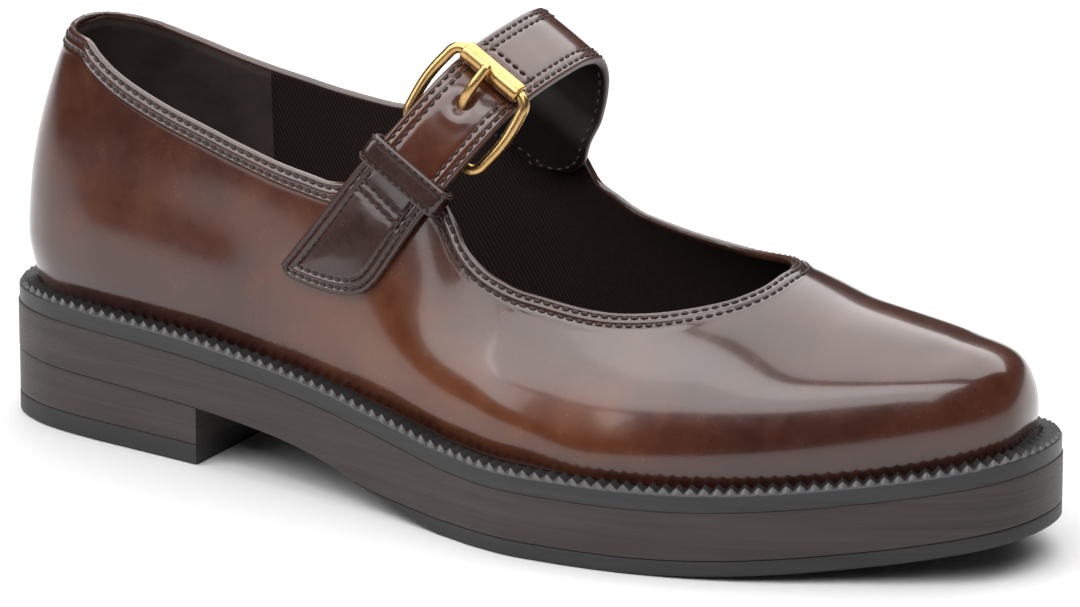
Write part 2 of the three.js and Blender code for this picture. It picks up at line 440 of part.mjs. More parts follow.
const buckleRoller = (() => {
  const out = [], inn = [], sides = 16, e = [rollerSeat.ny, rollerSeat.nv], f = [rollerSeat.nv, -rollerSeat.ny];
  for (let k = 0; k < sides; k++) {
    const a = 2 * Math.PI * (k + 0.5) / sides, c = Math.cos(a), s = Math.sin(a);
    const at = (r, w) => onPlane(rollerCentre.y + r * (c * e[0] + s * f[0]), rollerCentre.v + r * (c * e[1] + s * f[1]), w);
    out.push([at(ROLLER_R, -ROLLER_HALF), at(ROLLER_R, ROLLER_HALF)]);
    inn.push([at(WIRE_R + 0.35, -ROLLER_HALF), at(WIRE_R + 0.35, ROLLER_HALF)]);
  }
  return shell(out, inn, true);
})();
// prong: eye round the heel bar, up through the strap, tip on the roller
const PRONG_W = -0.6;
const prongRest = PRONG_R + ROLLER_R + 0.35;
const prongPath = (() => {
  const eye = WIRE_R + PRONG_R + 0.5, pts = [];
  const dy = rollerCentre.y - heelBar.y, dv = rollerCentre.v - heelBar.v, l = Math.hypot(dy, dv), t = [dy / l, dv / l], n = [-t[1], t[0]];
  const at = (along, out) => onPlane(heelBar.y + t[0] * along + n[0] * out, heelBar.v + t[1] * along + n[1] * out, PRONG_W);
  for (let k = 0; k <= 8; k++) { const a = (110 + 260 * (1 - k / 8)) * Math.PI / 180; pts.push(at(eye * Math.cos(a), eye * Math.sin(a))); }
  for (const [s, o] of [[2.6, 2.3], [6.0, 1.3], [9.0, 1.1], [10.6, 1.6], [12.6, 3.1], [15.0, 4.3], [18.0, 4.7], [l - 1.0, prongRest + 0.15], [l + 1.8, prongRest - 0.1]]) pts.push(at(s, o));
  return pts;
})();
const buckleProng = bar(prongPath, t => PRONG_R * (t > 0.9 ? 0.86 : 1), 8, ACROSS);

// ---------------------------------------------------------------- joins and cuts
const wasm = await Module();
wasm.setup();
const toSolid = g => {
  const p = g.attributes.position.array, idx = g.index.array;
  return new wasm.Manifold(new wasm.Mesh({ numProp: 3, vertProperties: new Float32Array(p), triVerts: new Uint32Array(idx) }));
};
const fromSolid = s => {
  const m = s.getMesh(), g = new THREE.BufferGeometry();
  g.setAttribute('position', new THREE.BufferAttribute(new Float32Array(m.vertProperties), 3));
  g.setIndex([...m.triVerts]);
  return g;
};
// the prong's slot through the strap
const strap = fromSolid(toSolid(strapSolid).subtract(toSolid(bar(prongPath, PRONG_R + 0.35, 10, ACROSS))));
// the tab's two folds round the buckle's bar, either side of the prong
const FOLDS = table(['from', 'to'], [[-7.8, -2.3], [1.1, 7.2]]);
function fold(from, to) {
  const mid = (from + to) / 2, seat = onPlane(0, TAB_TOP - 1.2, mid), root = quarterPoint(seat[0], seat[2], GAP + 0.1 + TAB_THICK / 2);
  const r = WIRE_R + GAP + FOLD_THICK / 2, path = [[root[1], TAB_TOP - 1.2], [(root[1] + heelBar.y - r) / 2, (TAB_TOP + heelBar.v) / 2 - 1]];
  for (let k = 0; k <= 8; k++) { const a = Math.PI * (1 - k / 8); path.push([heelBar.y + r * Math.cos(a), heelBar.v + r * Math.sin(a)]); }
  path.push([heelBar.y + r, heelBar.v - 1.4]);
  const face = s => path.map((p, i) => {
    const a = path[Math.max(0, i - 1)], b = path[Math.min(path.length - 1, i + 1)], t = unit([b[0] - a[0], b[1] - a[1]]);
    return [from, to].map(w => onPlane(p[0] - t[1] * s * FOLD_THICK / 2, p[1] + t[0] * s * FOLD_THICK / 2, w));
  });
  return shell(face(1), face(-1));
}
const tab = fromSolid(FOLDS.from.reduce((s, f, i) => s.add(toSolid(fold(f, FOLDS.to[i]))), toSolid(tabSheet)));

// ---------------------------------------------------------------- assembly
const LEATHER = { color: 0x5a3324, roughness: 0.28, metalness: 0 };
const SOLE_STACK = { color: 0x4a3f3a, roughness: 0.6, metalness: 0 };
const RUBBER = { color: 0x2b2928, roughness: 0.7, metalness: 0 };
const BRASS = { color: 0xb08440, roughness: 0.35, metalness: 1 };
const LINING = { color: 0x1d1816, roughness: 0.8, metalness: 0 };
const group = new THREE.Group();
group.name = 'bar_strap_shoe';
function add(name, geometry, look) {
  geometry.translate(...FRAME_SHIFT);
  geometry.computeVertexNormals();
  const mesh = new THREE.Mesh(geometry, new THREE.MeshStandardMaterial({ ...look, flatShading: true }));
  mesh.name = name;
  group.add(mesh);
}
add('outsole', outsole, RUBBER);
add('midsole', midsole, SOLE_STACK);
add('welt', welt, RUBBER);
add('heel_block', heelBlock, SOLE_STACK);
add('heel_lift', heelLift, RUBBER);
add('insole', insole, LINING);
add('upper', upper, LEATHER);
add('strap', strap, LEATHER);
add('strap_tab', tab, LEATHER);
add('keeper_loop', keeper, LEATHER);
add('buckle_frame', buckleFrame, BRASS);
add('buckle_roller', buckleRoller, BRASS);
add('buckle_prong', buckleProng, BRASS);

export default group;
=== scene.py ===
import math
import bpy
import numpy as np
from mathutils import Matrix


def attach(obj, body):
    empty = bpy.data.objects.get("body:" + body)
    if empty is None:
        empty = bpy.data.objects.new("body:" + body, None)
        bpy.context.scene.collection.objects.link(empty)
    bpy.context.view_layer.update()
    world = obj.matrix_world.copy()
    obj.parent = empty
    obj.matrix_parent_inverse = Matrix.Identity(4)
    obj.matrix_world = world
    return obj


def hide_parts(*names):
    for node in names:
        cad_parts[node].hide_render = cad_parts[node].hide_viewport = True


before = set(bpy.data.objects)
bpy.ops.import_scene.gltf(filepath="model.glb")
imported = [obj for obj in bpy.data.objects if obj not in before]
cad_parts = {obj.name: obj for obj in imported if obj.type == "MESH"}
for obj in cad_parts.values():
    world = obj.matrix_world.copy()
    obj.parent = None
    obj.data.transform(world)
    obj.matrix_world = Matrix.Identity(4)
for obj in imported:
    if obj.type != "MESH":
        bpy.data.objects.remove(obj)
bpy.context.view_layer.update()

# Looks for the buckled bar-strap shoe. Working units: millimetres in the maker's measuring frame
# (heel back x 0, toe +X, outer side -Y, floor z 0); SHIFT and MM bring them into the part's frame.
SHIFT = np.array([-136.0, 1.55, 0.0])
MM = 0.001
GAP, WALL, STRAP_THICK, TAB_THICK = 0.3, 2.0, 2.6, 2.0

# ------------------------------------------------------------------ tables (as in the solids)
def table(names, rows):
    return dict(zip(names, np.array(rows, float).T))

SOLE = table(("x", "lat", "med"), [
    (0, 0, 0), (2, -15.5, 15.5), (5, -20.2, 20.2), (10, -23.9, 23.9), (18, -27.2, 27), (30, -29.4, 29.6), (48, -31.1, 30.6),
    (64, -32.6, 31), (84, -34.4, 31), (104, -37.4, 31.6), (122, -41, 33.6), (141, -45.5, 36.8), (152, -48.2, 39), (162, -49.3, 41),
    (172, -48.7, 43.2), (185, -47, 45.4), (200, -43.4, 46.2), (212, -39.2, 45.6), (224, -33.6, 44), (237, -26.6, 41), (249, -20, 37),
    (259, -13.6, 31.6), (266, -7.6, 25.6), (270, -1.4, 19.6), (272, 9, 9)])
WELT_TOP = table(("x", "z"), [(0, 32.4), (41, 31.4), (60, 30.6), (78, 29), (89, 27.9), (102, 26.3), (115, 24.2), (128, 22.1), (140, 20.4), (157, 19.7), (185, 19.7)])
ARCH = table(("x", "z"), [(0, 16.6), (64, 14.3), (84, 12.4), (96, 10.7), (108, 7.9), (118, 4.8), (128, 2.3), (134, 1), (141, 0), (185, 0)])
LAST = table(("x", "lat", "med", "ridge", "h", "pl", "pm"), [
    (1.4, 0, 0, 0, 80, 2, 2), (3.4, -10.8, 10.8, 0, 80, 2, 2), (6.4, -16.4, 16.4, 0, 80, 2, 2), (11.5, -21.2, 21.2, 0, 80.5, 2, 2),
    (18, -24.2, 24, 0, 81, 2, 2), (30, -26, 25.8, 0, 82.5, 2, 2), (48, -27.2, 26.8, 0, 84, 2, 2), (64, -28.2, 27.2, .5, 86, 2, 2),
    (84, -29.8, 27.8, 1, 88.5, 1.95, 2.1), (104, -32.6, 29, 2, 91, 1.8, 2.3), (122, -36, 31.2, 3, 89, 1.64, 2.4), (141, -40.3, 33.8, 4, 77, 1.48, 2.15),
    (155, -43.2, 35.8, 4.7, 64, 1.48, 1.85), (172, -43.8, 38.6, 5.2, 53.3, 1.5, 1.8), (185, -42.4, 40.4, 5.5, 47.3, 1.63, 1.8),
    (200, -39.2, 41.2, 5.8, 43, 1.8, 1.88), (212, -35.2, 40.8, 6.2, 40.2, 1.9, 1.95), (224, -30, 39.4, 6.6, 37, 2, 2), (237, -23.2, 36.4, 7, 33.6, 2.1, 2.1),
    (249, -16.4, 32, 7.5, 30, 2.2, 2.2), (257, -10.8, 27.6, 8, 26, 2.25, 2.25), (263, -5, 22.4, 8.4, 20.4, 2.3, 2.3), (266.2, .6, 17, 8.7, 12.6, 2.3, 2.3),
    (267.8, 8.8, 8.8, 8.8, 0, 2.3, 2.3)])
BACK = table(("z", "lean"), [(28, .8), (36, .2), (46, 0), (58, .6), (68, 2), (78, 4.3), (88, 7.2), (96, 10), (110, 14)])
COLLAR_LAT = table(("x", "z", "foot"), [(1.4, 95.2, 1.4), (14.7, 94.6, 14.7), (21.1, 92, 21.1), (28, 89.2, 28), (36.3, 86.5, 36.3), (54.1, 81.9, 54.1),
    (71.3, 78, 71.3), (87.9, 74.9, 87.9), (96, 73.8, 96.5), (101.5, 74, 102.5), (106, 76.2, 107.5), (111, 80.6, 113.5), (117.5, 84, 121), (124, 82, 130)])
THROAT_LAT = table(("x", "y", "foot"), [(129.4, -24.6, 140), (133, -25.6, 149), (137.4, -27.2, 158), (142.8, -28.2, 168), (148.8, -28.5, 177), (157, -27.6, 189),
    (170, -25.5, 206), (183, -21.8, 224), (194, -16.4, 243), (200.4, -10.8, 255), (204, -3, 263.6), (204.6, 5.9, 267.8)])
COLLAR_MED = table(("x", "z", "foot"), [(1.4, 95.2, 1.4), (6.4, 93.8, 6.4), (16.2, 91.4, 16.2), (25.9, 88.8, 25.9), (36.3, 86.4, 36.3), (54, 83.2, 54),
    (73.2, 80.2, 73.2), (87.8, 78.8, 88), (97, 79.2, 97.5), (105, 81, 106), (113, 83.2, 115), (121, 84.2, 124), (128, 83.4, 132.5), (134, 79.6, 140)])
THROAT_MED = table(("x", "y", "foot"), [(138.2, 27.8, 148), (141.8, 29, 157), (147.3, 28.7, 167), (154, 27.8, 178), (161.4, 27.4, 188), (170, 26.8, 199),
    (180, 25.2, 213), (190, 22, 230), (199, 16.2, 248), (203.8, 10, 261), (204.6, 5.9, 267.8)])
STRAP = table(("y", "v", "back", "front"), [(-32.2, -3.6, -10.3, 9.1), (-31.2, -.6, -10.3, 9.1), (-29.2, 4.6, -10.1, 9.2), (-26.8, 9.8, -9.8, 9.4), (-23.8, 15, -9.6, 9.5),
    (-20, 20, -9.5, 9.5), (-15, 23.8, -9.5, 9.5), (-8, 26.9, -9.5, 9.5), (2, 29.1, -9.5, 9.5), (11, 30.2, -9.5, 9.6), (17, 29.6, -9.6, 10), (21.8, 26.8, -9.8, 11.2),
    (24.6, 21.6, -10.2, 13.2), (25.6, 15, -11, 15.2), (25.6, 8, -12, 17), (25.6, 2, -12.6, 18.2), (25.8, -4, -12.4, 17.6), (26, -9, -10, 14)])
TAB_END = table(("f", "v"), [(0, -42.2), (.04, -43), (.1, -43.3), (.3, -41.8), (.57, -38.7), (.82, -34.8), (.96, -30.3), (1, -26.5)])
TAB_EDGE = table(("v", "back", "front"), [(-44, -16.2, 7.6), (-27, -14.2, 7.6), (-10, -13, 7.5), (3, -11.6, 7.6)])
TAB_TOP = 1.2

# ------------------------------------------------------------------ small maths
def smooth(a, b, v):
    t = np.clip((np.asarray(v, float) - a) / (b - a), 0, 1)
    return t * t * (3 - 2 * t)

def unit(v):
    return v / np.maximum(np.linalg.norm(v, axis=-1, keepdims=True), 1e-12)

def curve(xs, ys):
    xs, ys = np.asarray(xs, float), np.asarray(ys, float)
    h = np.diff(xs); d = np.diff(ys) / h; m = np.zeros(len(xs)); m[0], m[-1] = d[0], d[-1]
    for i in range(1, len(xs) - 1):
        if d[i - 1] * d[i] > 0:
            a, b = 2 * h[i] + h[i - 1], h[i] + 2 * h[i - 1]
            m[i] = (a + b) / (a / d[i - 1] + b / d[i])
    def f(v):
        x = np.clip(np.asarray(v, float), xs[0], xs[-1])
        i = np.clip(np.searchsorted(xs, x, side="right") - 1, 0, len(xs) - 2)
        t = (x - xs[i]) / h[i]; u = 1 - t
        return ys[i] * (1 + 2 * t) * u * u + m[i] * h[i] * t * u * u + ys[i + 1] * t * t * (3 - 2 * t) - m[i + 1] * h[i] * t * t * u
    return f

def girth(x, a, b):
    return np.arccos(np.clip(1 - 2 * (np.asarray(x, float) - a) / (b - a), -1, 1))

def over_girth(xs, ys, a, b):
    f = curve(girth(xs, a, b), ys)
    return lambda x: f(girth(x, a, b))

sole_lat, sole_med = over_girth(SOLE["x"], SOLE["lat"], 0, 272), over_girth(SOLE["x"], SOLE["med"], 0, 272)
welt_run, arch_run = curve(WELT_TOP["x"], WELT_TOP["z"]), curve(ARCH["x"], ARCH["z"])
spring = lambda x: 10 * np.maximum(0, (np.asarray(x, float) - 185) / 90) ** 2
welt_top = lambda x: welt_run(x) + spring(x)
tread = lambda x: arch_run(x) + spring(x)
outsole_top = lambda x: tread(x) + 3.8 * smooth(110, 144, x)
midsole_bottom = lambda x: outsole_top(x) + 0.12 * smooth(110, 114, x)
feather = lambda x: welt_top(x) + GAP
last = {k: over_girth(LAST["x"], LAST[k], 1.4, 267.8) for k in ("lat", "med", "ridge", "h", "pl", "pm")}

def section(x, side):
    yc = last["ridge"](x)
    w = np.maximum(1e-6, yc - last["lat"](x) if side < 0 else last["med"](x) - yc)
    return yc, w, last["h"](x), last["pl" if side < 0 else "pm"](x), feather(x)

def last_z(x, y, side):
    yc, w, h, p, z = section(x, side)
    e = np.clip(np.abs(y - yc) / w, 0, 1)
    return z + h * np.maximum(0, 1 - e ** p) ** (1 / p)

def last_y(x, zz, side):
    yc, w, h, p, z = section(x, side)
    k = np.clip((zz - z) / np.maximum(h, 1e-6), 0, 1)
    return yc + side * w * np.maximum(0, 1 - k ** p) ** (1 / p)

back_run = curve(BACK["z"], BACK["lean"])
lean = lambda x, z: back_run(z) * np.clip(1 - (x - 1.4) / 95, 0, 1) ** 1.3

TILT = math.radians(31)
ACROSS = np.array([math.cos(TILT), 0, -math.sin(TILT)]); UPWARD = np.array([math.sin(TILT), 0, math.cos(TILT)])
def on_plane(y, v, w):
    y, v, w = np.broadcast_arrays(*(np.asarray(k, float) for k in (y, v, w)))
    return np.stack([123 + w * ACROSS[0] + v * UPWARD[0], y, 81.5 + w * ACROSS[2] + v * UPWARD[2]], -1)

# ------------------------------------------------------------------ mesh helpers
def grid_quads(n, m, ring_i=False, ring_j=False, at=0, flip=False):
    i, j = np.meshgrid(np.arange(n if ring_i else n - 1), np.arange(m if ring_j else m - 1), indexing="ij")
    a = i * m + j; b = ((i + 1) % n) * m + j; c = ((i + 1) % n) * m + (j + 1) % m; d = i * m + (j + 1) % m
    q = np.stack([a, b, c, d], -1).reshape(-1, 4) + at
    return q[:, ::-1] if flip else q

class Build:
    def __init__(self):
        self.v, self.f, self.m, self.a, self.n = [], [], [], {}, 0
    def add(self, pts, quads, mat=0, **attr):
        pts = np.asarray(pts, float).reshape(-1, 3)
        self.v.append(pts)
        self.f.append(np.asarray(quads) + self.n)
        self.m.append(np.broadcast_to(np.asarray(mat), (len(quads),)))
        for k in set(self.a) | set(attr):
            have = self.a.setdefault(k, [np.zeros(self.n)] if self.n else [])
            have.append(np.broadcast_to(np.asarray(attr.get(k, 0.0), float).reshape(-1) if np.ndim(attr.get(k, 0.0)) else attr.get(k, 0.0), (len(pts),)))
        self.n += len(pts)
        return self
    def make(self, name, mats, slot, replaces=(), sharp=38, weld=0.0):
        v = (np.concatenate(self.v) + SHIFT) * MM
        faces = [[int(k) for k in dict.fromkeys(q)] for part in self.f for q in part.tolist()]
        mi = np.concatenate(self.m)
        keep = [len(q) > 2 for q in faces]
        me = bpy.data.meshes.new(name)
        me.from_pydata(v.tolist(), [], [q for q, k in zip(faces, keep) if k])
        me.polygons.foreach_set("material_index", mi[np.array(keep)].astype(np.int32))
        for k, parts in self.a.items():
            at = me.attributes.new(k, "FLOAT", "POINT")
            at.data.foreach_set("value", np.concatenate(parts).astype(np.float32))
        for k in mats:
            me.materials.append(k)
        me.polygons.foreach_set("use_smooth", np.ones(len(me.polygons), bool))
        me.update()
        me.set_sharp_from_angle(angle=math.radians(sharp))
        ob = bpy.data.objects.new(name, me)
        bpy.context.scene.collection.objects.link(ob)
        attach(ob, "root")
        if replaces:
            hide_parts(*replaces)
        return ob

def resample(path, count=None, step=None, closed=False):
    path = np.asarray(path, float)
    if closed:
        path = np.vstack([path, path[:1]])
    d = np.concatenate([[0], np.cumsum(np.linalg.norm(np.diff(path, axis=0), axis=1))])
    if count is None:
        count = max(2, int(round(d[-1] / step)) + 1)
    t = np.linspace(0, d[-1], count + 1)[:-1] if closed else np.linspace(0, d[-1], count)
    return np.stack([np.interp(t, d, path[:, k]) for k in range(path.shape[1])], 1)

# short thread stitches laid along a line of points with normals
def stitches(build, path, normal, pitch=2.4, half=1.05, r=0.4, rise=0.16, closed=False, mat=0, skip=0.0):
    line = resample(np.hstack([path, normal]), step=pitch, closed=closed) if not closed else resample(np.hstack([path, normal]), count=max(3, int(round(np.linalg.norm(np.diff(np.vstack([path, path[:1]]), axis=0), axis=1).sum() / pitch))), closed=True)
    p, n = line[:, :3], unit(line[:, 3:])
    t = unit(np.roll(p, -1, 0) - np.roll(p, 1, 0)) if closed else unit(np.gradient(p, axis=0))
    n = unit(n - t * (n * t).sum(1, keepdims=True)); b = np.cross(t, n)
    u = np.array([-1, -.86, -.5, 0, .5, .86, 1]); rad = np.array([.12, .62, .95, 1, .95, .62, .12]) * r
    lift = rise - 0.5 * np.abs(u) ** 2.4
    ang = np.arange(7) * 2 * math.pi / 7
    ring = np.stack([np.cos(ang), np.sin(ang)], 1)
    pts = (p[:, None, None] + t[:, None, None] * (u * half)[None, :, None, None]
           + n[:, None, None] * (lift[None, :, None, None] + rad[None, :, None, None] * ring[None, None, :, 1, None])
           + b[:, None, None] * (rad[None, :, None, None] * ring[None, None, :, 0, None]))
    for k in range(len(p)):
        build.add(pts[k].reshape(-1, 3), grid_quads(7, 7, ring_j=True), mat)

# ------------------------------------------------------------------ materials
class Nodes:
    def __init__(self, name):
        self.mat = bpy.data.materials.new(name)
        self.mat.use_nodes = True
        self.t = self.mat.node_tree
        self.b = next(n for n in self.t.nodes if n.type == "BSDF_PRINCIPLED")
        self.co = self.t.nodes.new("ShaderNodeTexCoord").outputs["Object"]
    def node(self, kind, **kw):
        n = self.t.nodes.new("ShaderNode" + kind)
        for k, v in kw.items():
            if hasattr(n, k) and k not in n.inputs:
                setattr(n, k, v)
            else:
                self.put(n.inputs[k], v)
        return n
    def put(self, sock, v):
        if isinstance(v, bpy.types.NodeSocket):
            self.t.links.new(v, sock)
        else:
            sock.default_value = v
    def set(self, **kw):
        for k, v in kw.items():
            self.put(self.b.inputs[k.replace("_", " ")], v)
        return self.mat
    def scale(self, x, y, z, co=None):
        m = self.node("Mapping"); self.put(m.inputs["Vector"], co or self.co); m.inputs["Scale"].default_value = (x, y, z)
        return m.outputs[0]
    def noise(self, scale, detail=4, rough=.55, co=None, dist=0.0):
        n = self.node("TexNoise", Scale=scale, Detail=detail, Roughness=rough, Distortion=dist)
        self.put(n.inputs["Vector"], co or self.co)
        return n.outputs["Fac"]
    def attr(self, name):
        n = self.t.nodes.new("ShaderNodeAttribute"); n.attribute_name = name
        return n.outputs["Fac"]
    def maths(self, op, a, b=0.0, clamp=False):
        n = self.node("Math", operation=op); n.use_clamp = clamp
        self.put(n.inputs[0], a); self.put(n.inputs[1], b)
        return n.outputs[0]
    def remap(self, v, a, b, c=0.0, d=1.0):
        n = self.node("MapRange")
        for k, x in zip(("Value", "From Min", "From Max", "To Min", "To Max"), (v, a, b, c, d)):
            self.put(n.inputs[k], x)
        return n.outputs[0]
    def ramp(self, v, *stops):
        n = self.node("ValToRGB"); self.put(n.inputs[0], v); e = n.color_ramp.elements
        while len(e) < len(stops):
            e.new(0.5)
        for k, (pos, col) in zip(e, stops):
            k.position = pos; k.color = (*col, 1)
        return n.outputs[0]
    def mix(self, f, a, b, mode="MIX"):
        n = self.node("Mix", data_type="RGBA", blend_type=mode)
        self.put(n.inputs["Factor"], f)
        self.put(n.inputs[6], a if isinstance(a, bpy.types.NodeSocket) else (*a, 1)); self.put(n.inputs[7], b if isinstance(b, bpy.types.NodeSocket) else (*b, 1))
        return n.outputs[2]
    def bump(self, h, strength, dist, before=None):
        n = self.node("Bump", Strength=strength, Distance=dist); self.put(n.inputs["Height"], h)
        if before is not None:
            self.put(n.inputs["Normal"], before)
        return n.outputs[0]

def leather(name, dark, mid, warm, rough=.2, coat=.55, grain=.06):
    k = Nodes(name)
    blotch = k.noise(38, 5, .6, dist=.4); cloud = k.noise(130, 4, .6); speck = k.noise(1500, 3, .7); pore = k.noise(4200, 2, .6)
    tone = k.maths("ADD", k.attr("tone"), k.remap(blotch, .3, .7, -.16, .16))
    tone = k.maths("ADD", tone, k.remap(cloud, .3, .7, -.10, .10))
    tone = k.maths("ADD", tone, k.remap(speck, .3, .7, -.035, .035), True)
    col = k.ramp(tone, (0.0, dark), (.45, mid), (1.0, warm))
    col = k.mix(k.maths("MULTIPLY", k.attr("edge"), .8), col, (.062, .030, .021))
    r = k.maths("ADD", k.remap(cloud, .3, .7, rough - .04, rough + .05), k.remap(speck, .4, .7, 0, .05))
    r = k.maths("ADD", r, k.maths("MULTIPLY", k.attr("edge"), .3), True)
    n = k.bump(pore, grain, .0001, k.bump(speck, grain * .6, .0002, k.bump(cloud, .05, .0006)))
    return k.set(Base_Color=col, Roughness=r, Coat_Weight=coat, Coat_Roughness=.09, Coat_IOR=1.5, Normal=n, Specular_IOR_Level=.5)

LEATHER = leather("brown_leather", (.0205, .0056, .0036), (.058, .0150, .0068), (.130, .0375, .0105))
TRIM_LEATHER = leather("trim_leather", (.0125, .0045, .0036), (.032, .0098, .0068), (.074, .0225, .0102), rough=.26, coat=.4, grain=.1)

def twill():
    k = Nodes("twill_lining")
    c = k.node("CombineXYZ", X=k.attr("along"), Y=k.attr("slant")).outputs[0]
    w = k.node("TexWave", wave_type="BANDS", bands_direction="DIAGONAL", Scale=.58, Distortion=.3, Detail=2.0); k.put(w.inputs["Vector"], c)
    w = w.outputs["Fac"]
    nap = k.noise(900, 3)
    col = k.mix(w, (.0026, .0014, .0013), (.034, .0165, .0150))
    col = k.mix(k.remap(nap, .35, .7, 0, .35), col, (.012, .007, .006))
    return k.set(Base_Color=col, Roughness=k.remap(nap, .3, .7, .78, .95), Normal=k.bump(w, .5, .0004, k.bump(nap, .2, .0003)), Specular_IOR_Level=.25)

def smooth_lining(name, lo, hi):
    k = Nodes(name)
    a, b = k.noise(60, 4), k.noise(1400, 3)
    col = k.ramp(a, (.3, lo), (.7, hi))
    return k.set(Base_Color=col, Roughness=k.remap(b, .3, .7, .42, .6), Normal=k.bump(b, .12, .0003, k.bump(a, .25, .002)), Specular_IOR_Level=.2)

def sole_side(name, lo, hi, rough, lines):
    k = Nodes(name)
    streak = k.noise(1.0, 5, .65, co=k.scale(14, 14, 1500)); wide = k.noise(1.0, 3, .5, co=k.scale(26, 26, 320)); fine = k.noise(1700, 3)
    f = k.maths("ADD", k.remap(streak, .3, .7, 0, .55), k.remap(wide, .3, .7, 0, .45), True)
    col = k.ramp(f, (0.0, lo), (1.0, hi))
    return k.set(Base_Color=col, Roughness=k.remap(fine, .3, .7, rough - .06, rough + .08), Normal=k.bump(streak, lines, .0005, k.bump(fine, .1, .0002)), Specular_IOR_Level=.4)

SIDE = sole_side("stacked_side", (.023, .0170, .0160), (.050, .0385, .0365), .46, .25)
WELT = sole_side("welt_rubber", (.0165, .0155, .0160), (.033, .0315, .0325), .36, .06)
# lighter rubber for the outer slope of the welt teeth: a painted highlight where those facets catch the light
WELT_HIGHLIGHT = sole_side("welt_painted_highlight", (.040, .038, .039), (.068, .065, .067), .34, .05)
TREAD = sole_side("tread_rubber", (.0150, .0140, .0143), (.0295, .0280, .0285), .5, .08)
TWILL, SMOOTH = twill(), smooth_lining("smooth_lining", (.0062, .0046, .0042), (.0115, .0086, .0080))
HEEL_LINING = smooth_lining("heel_lining", (.034, .0255, .0225), (.062, .0465, .0420))

def thread():
    k = Nodes("thread")
    w = k.noise(2600, 2)
    return k.set(Base_Color=k.ramp(w, (.3, (.011, .0050, .0042)), (.7, (.036, .0165, .0125))), Roughness=k.remap(w, .3, .7, .5, .72), Normal=k.bump(w, .5, .0003))

def brass():
    k = Nodes("antique_brass")
    a, b = k.noise(260, 4), k.noise(2400, 3)
    col = k.ramp(a, (.25, (.50, .300, .110)), (.55, (.60, .375, .150)), (.8, (.66, .430, .185)))
    return k.set(Base_Color=col, Metallic=1.0, Roughness=k.remap(b, .3, .7, .24, .32), Normal=k.bump(b, .03, .0001, k.bump(a, .03, .0003)))

THREAD, BRASS = thread(), brass()

# ------------------------------------------------------------------ upper
E_ROWS = np.array([0, .12, .3, .55, .85, 1.15, 1.5, 1.85, 2.2, 2.6, 3.0, 3.3, 3.6, 3.9, 4.3, 4.8, 5.4, 6.2, 7.2, 8.6])
LOW_ROWS = 46
PER_SIDE = 230
STITCH_A, STITCH_B = 1.5, 3.6                           # the two lines of stitching, from the edge

def upper_side(collar, throat, side):
    rows = []
    yc, w, h, p, z = section(collar["x"], side)
    ca = np.arcsin(np.clip((collar["z"] - z) / h, 0, 1) ** (p / 2))
    yc, w, h, p, z = section(throat["x"], side)
    ta = np.arccos(np.clip(np.abs(throat["y"] - yc) / w, 0, 1) ** (p / 2))
    X = np.concatenate([collar["x"], throat["x"]]); A = np.concatenate([ca, ta]); F = np.concatenate([collar["foot"], throat["foot"]])
    def at(x, a):
        yc, w, h, p, z = section(x, side)
        return np.stack([x, yc + side * w * np.maximum(0, np.cos(a)) ** (2 / p), z + h * np.maximum(0, np.sin(a)) ** (2 / p)], -1)
    q = at(X, A); run = np.concatenate([[0], np.cumsum(np.linalg.norm(np.diff(q, axis=0), axis=1))]); run /= run[-1]
    s = np.linspace(0, 1, PER_SIDE + 1)
    top = at(curve(run, X)(s), curve(run, A)(s)); fx = curve(run, F)(s)
    yc, w, h, p, z = section(fx, side)
    foot = np.stack([fx, yc + side * w, z], -1)
    g = np.gradient(foot[:, :2], axis=0); n = unit(np.stack([-g[:, 1] * side, g[:, 0] * side], -1)); n[0], n[-1] = (-1, 0), (1, 0)
    D = 200
    u = ((np.arange(D + 1) / D) ** 2.2)[None]
    x = foot[:, :1] + (top[:, :1] - foot[:, :1]) * u; y = foot[:, 1:2] + (top[:, 1:2] - foot[:, 1:2]) * u
    zz = last_z(x, y, side)
    zz[0] = foot[0, 2] + (top[0, 2] - foot[0, 2]) * np.arange(D + 1) / D
    tuck = 1.6 * np.maximum(0, 1 - (zz - feather(x)) / 12) ** 2
    path = np.stack([x + lean(x, zz) - n[:, :1] * tuck, y - n[:, 1:] * tuck, zz], -1)
    cols, length = [], []
    for c in path:
        d = np.concatenate([[0], np.cumsum(np.linalg.norm(np.diff(c, axis=0), axis=1))]); L = d[-1]
        e = np.concatenate([E_ROWS, E_ROWS[-1] + (L - E_ROWS[-1]) * np.linspace(0, 1, LOW_ROWS + 1)[1:]])
        cols.append(np.stack([np.interp(L - e, d, c[:, k]) for k in range(3)], 1)); length.append(L)
    return np.array(cols), np.array(length)

lat, lat_len = upper_side(COLLAR_LAT, THROAT_LAT, -1)
med, med_len = upper_side(COLLAR_MED, THROAT_MED, 1)
G = np.concatenate([lat, med[::-1][1:-1]]); LEN = np.concatenate([lat_len, med_len[::-1][1:-1]])
NI, NJ = G.shape[:2]
for _ in range(3):                                       # ease table joints, topline kept
    S = (np.roll(G, 1, 0) + np.roll(G, -1, 0)) / 2
    G[:, 1:] = G[:, 1:] * .5 + S[:, 1:] * .5
E = np.concatenate([np.broadcast_to(E_ROWS, (NI, len(E_ROWS))).copy(), E_ROWS[-1] + (LEN[:, None] - E_ROWS[-1]) * np.linspace(0, 1, LOW_ROWS + 1)[None, 1:]], 1)
du = np.roll(G, -1, 0) - np.roll(G, 1, 0); dv = np.gradient(G, axis=1)
NRM = unit(np.cross(dv, du))
if (NRM[PER_SIDE // 2, NJ // 2] * np.array([0, -1, 0])).sum() < 0:
    NRM = -NRM
window = lambda x, a, b, c, d: smooth(a, b, x) * (1 - smooth(c, d, x))
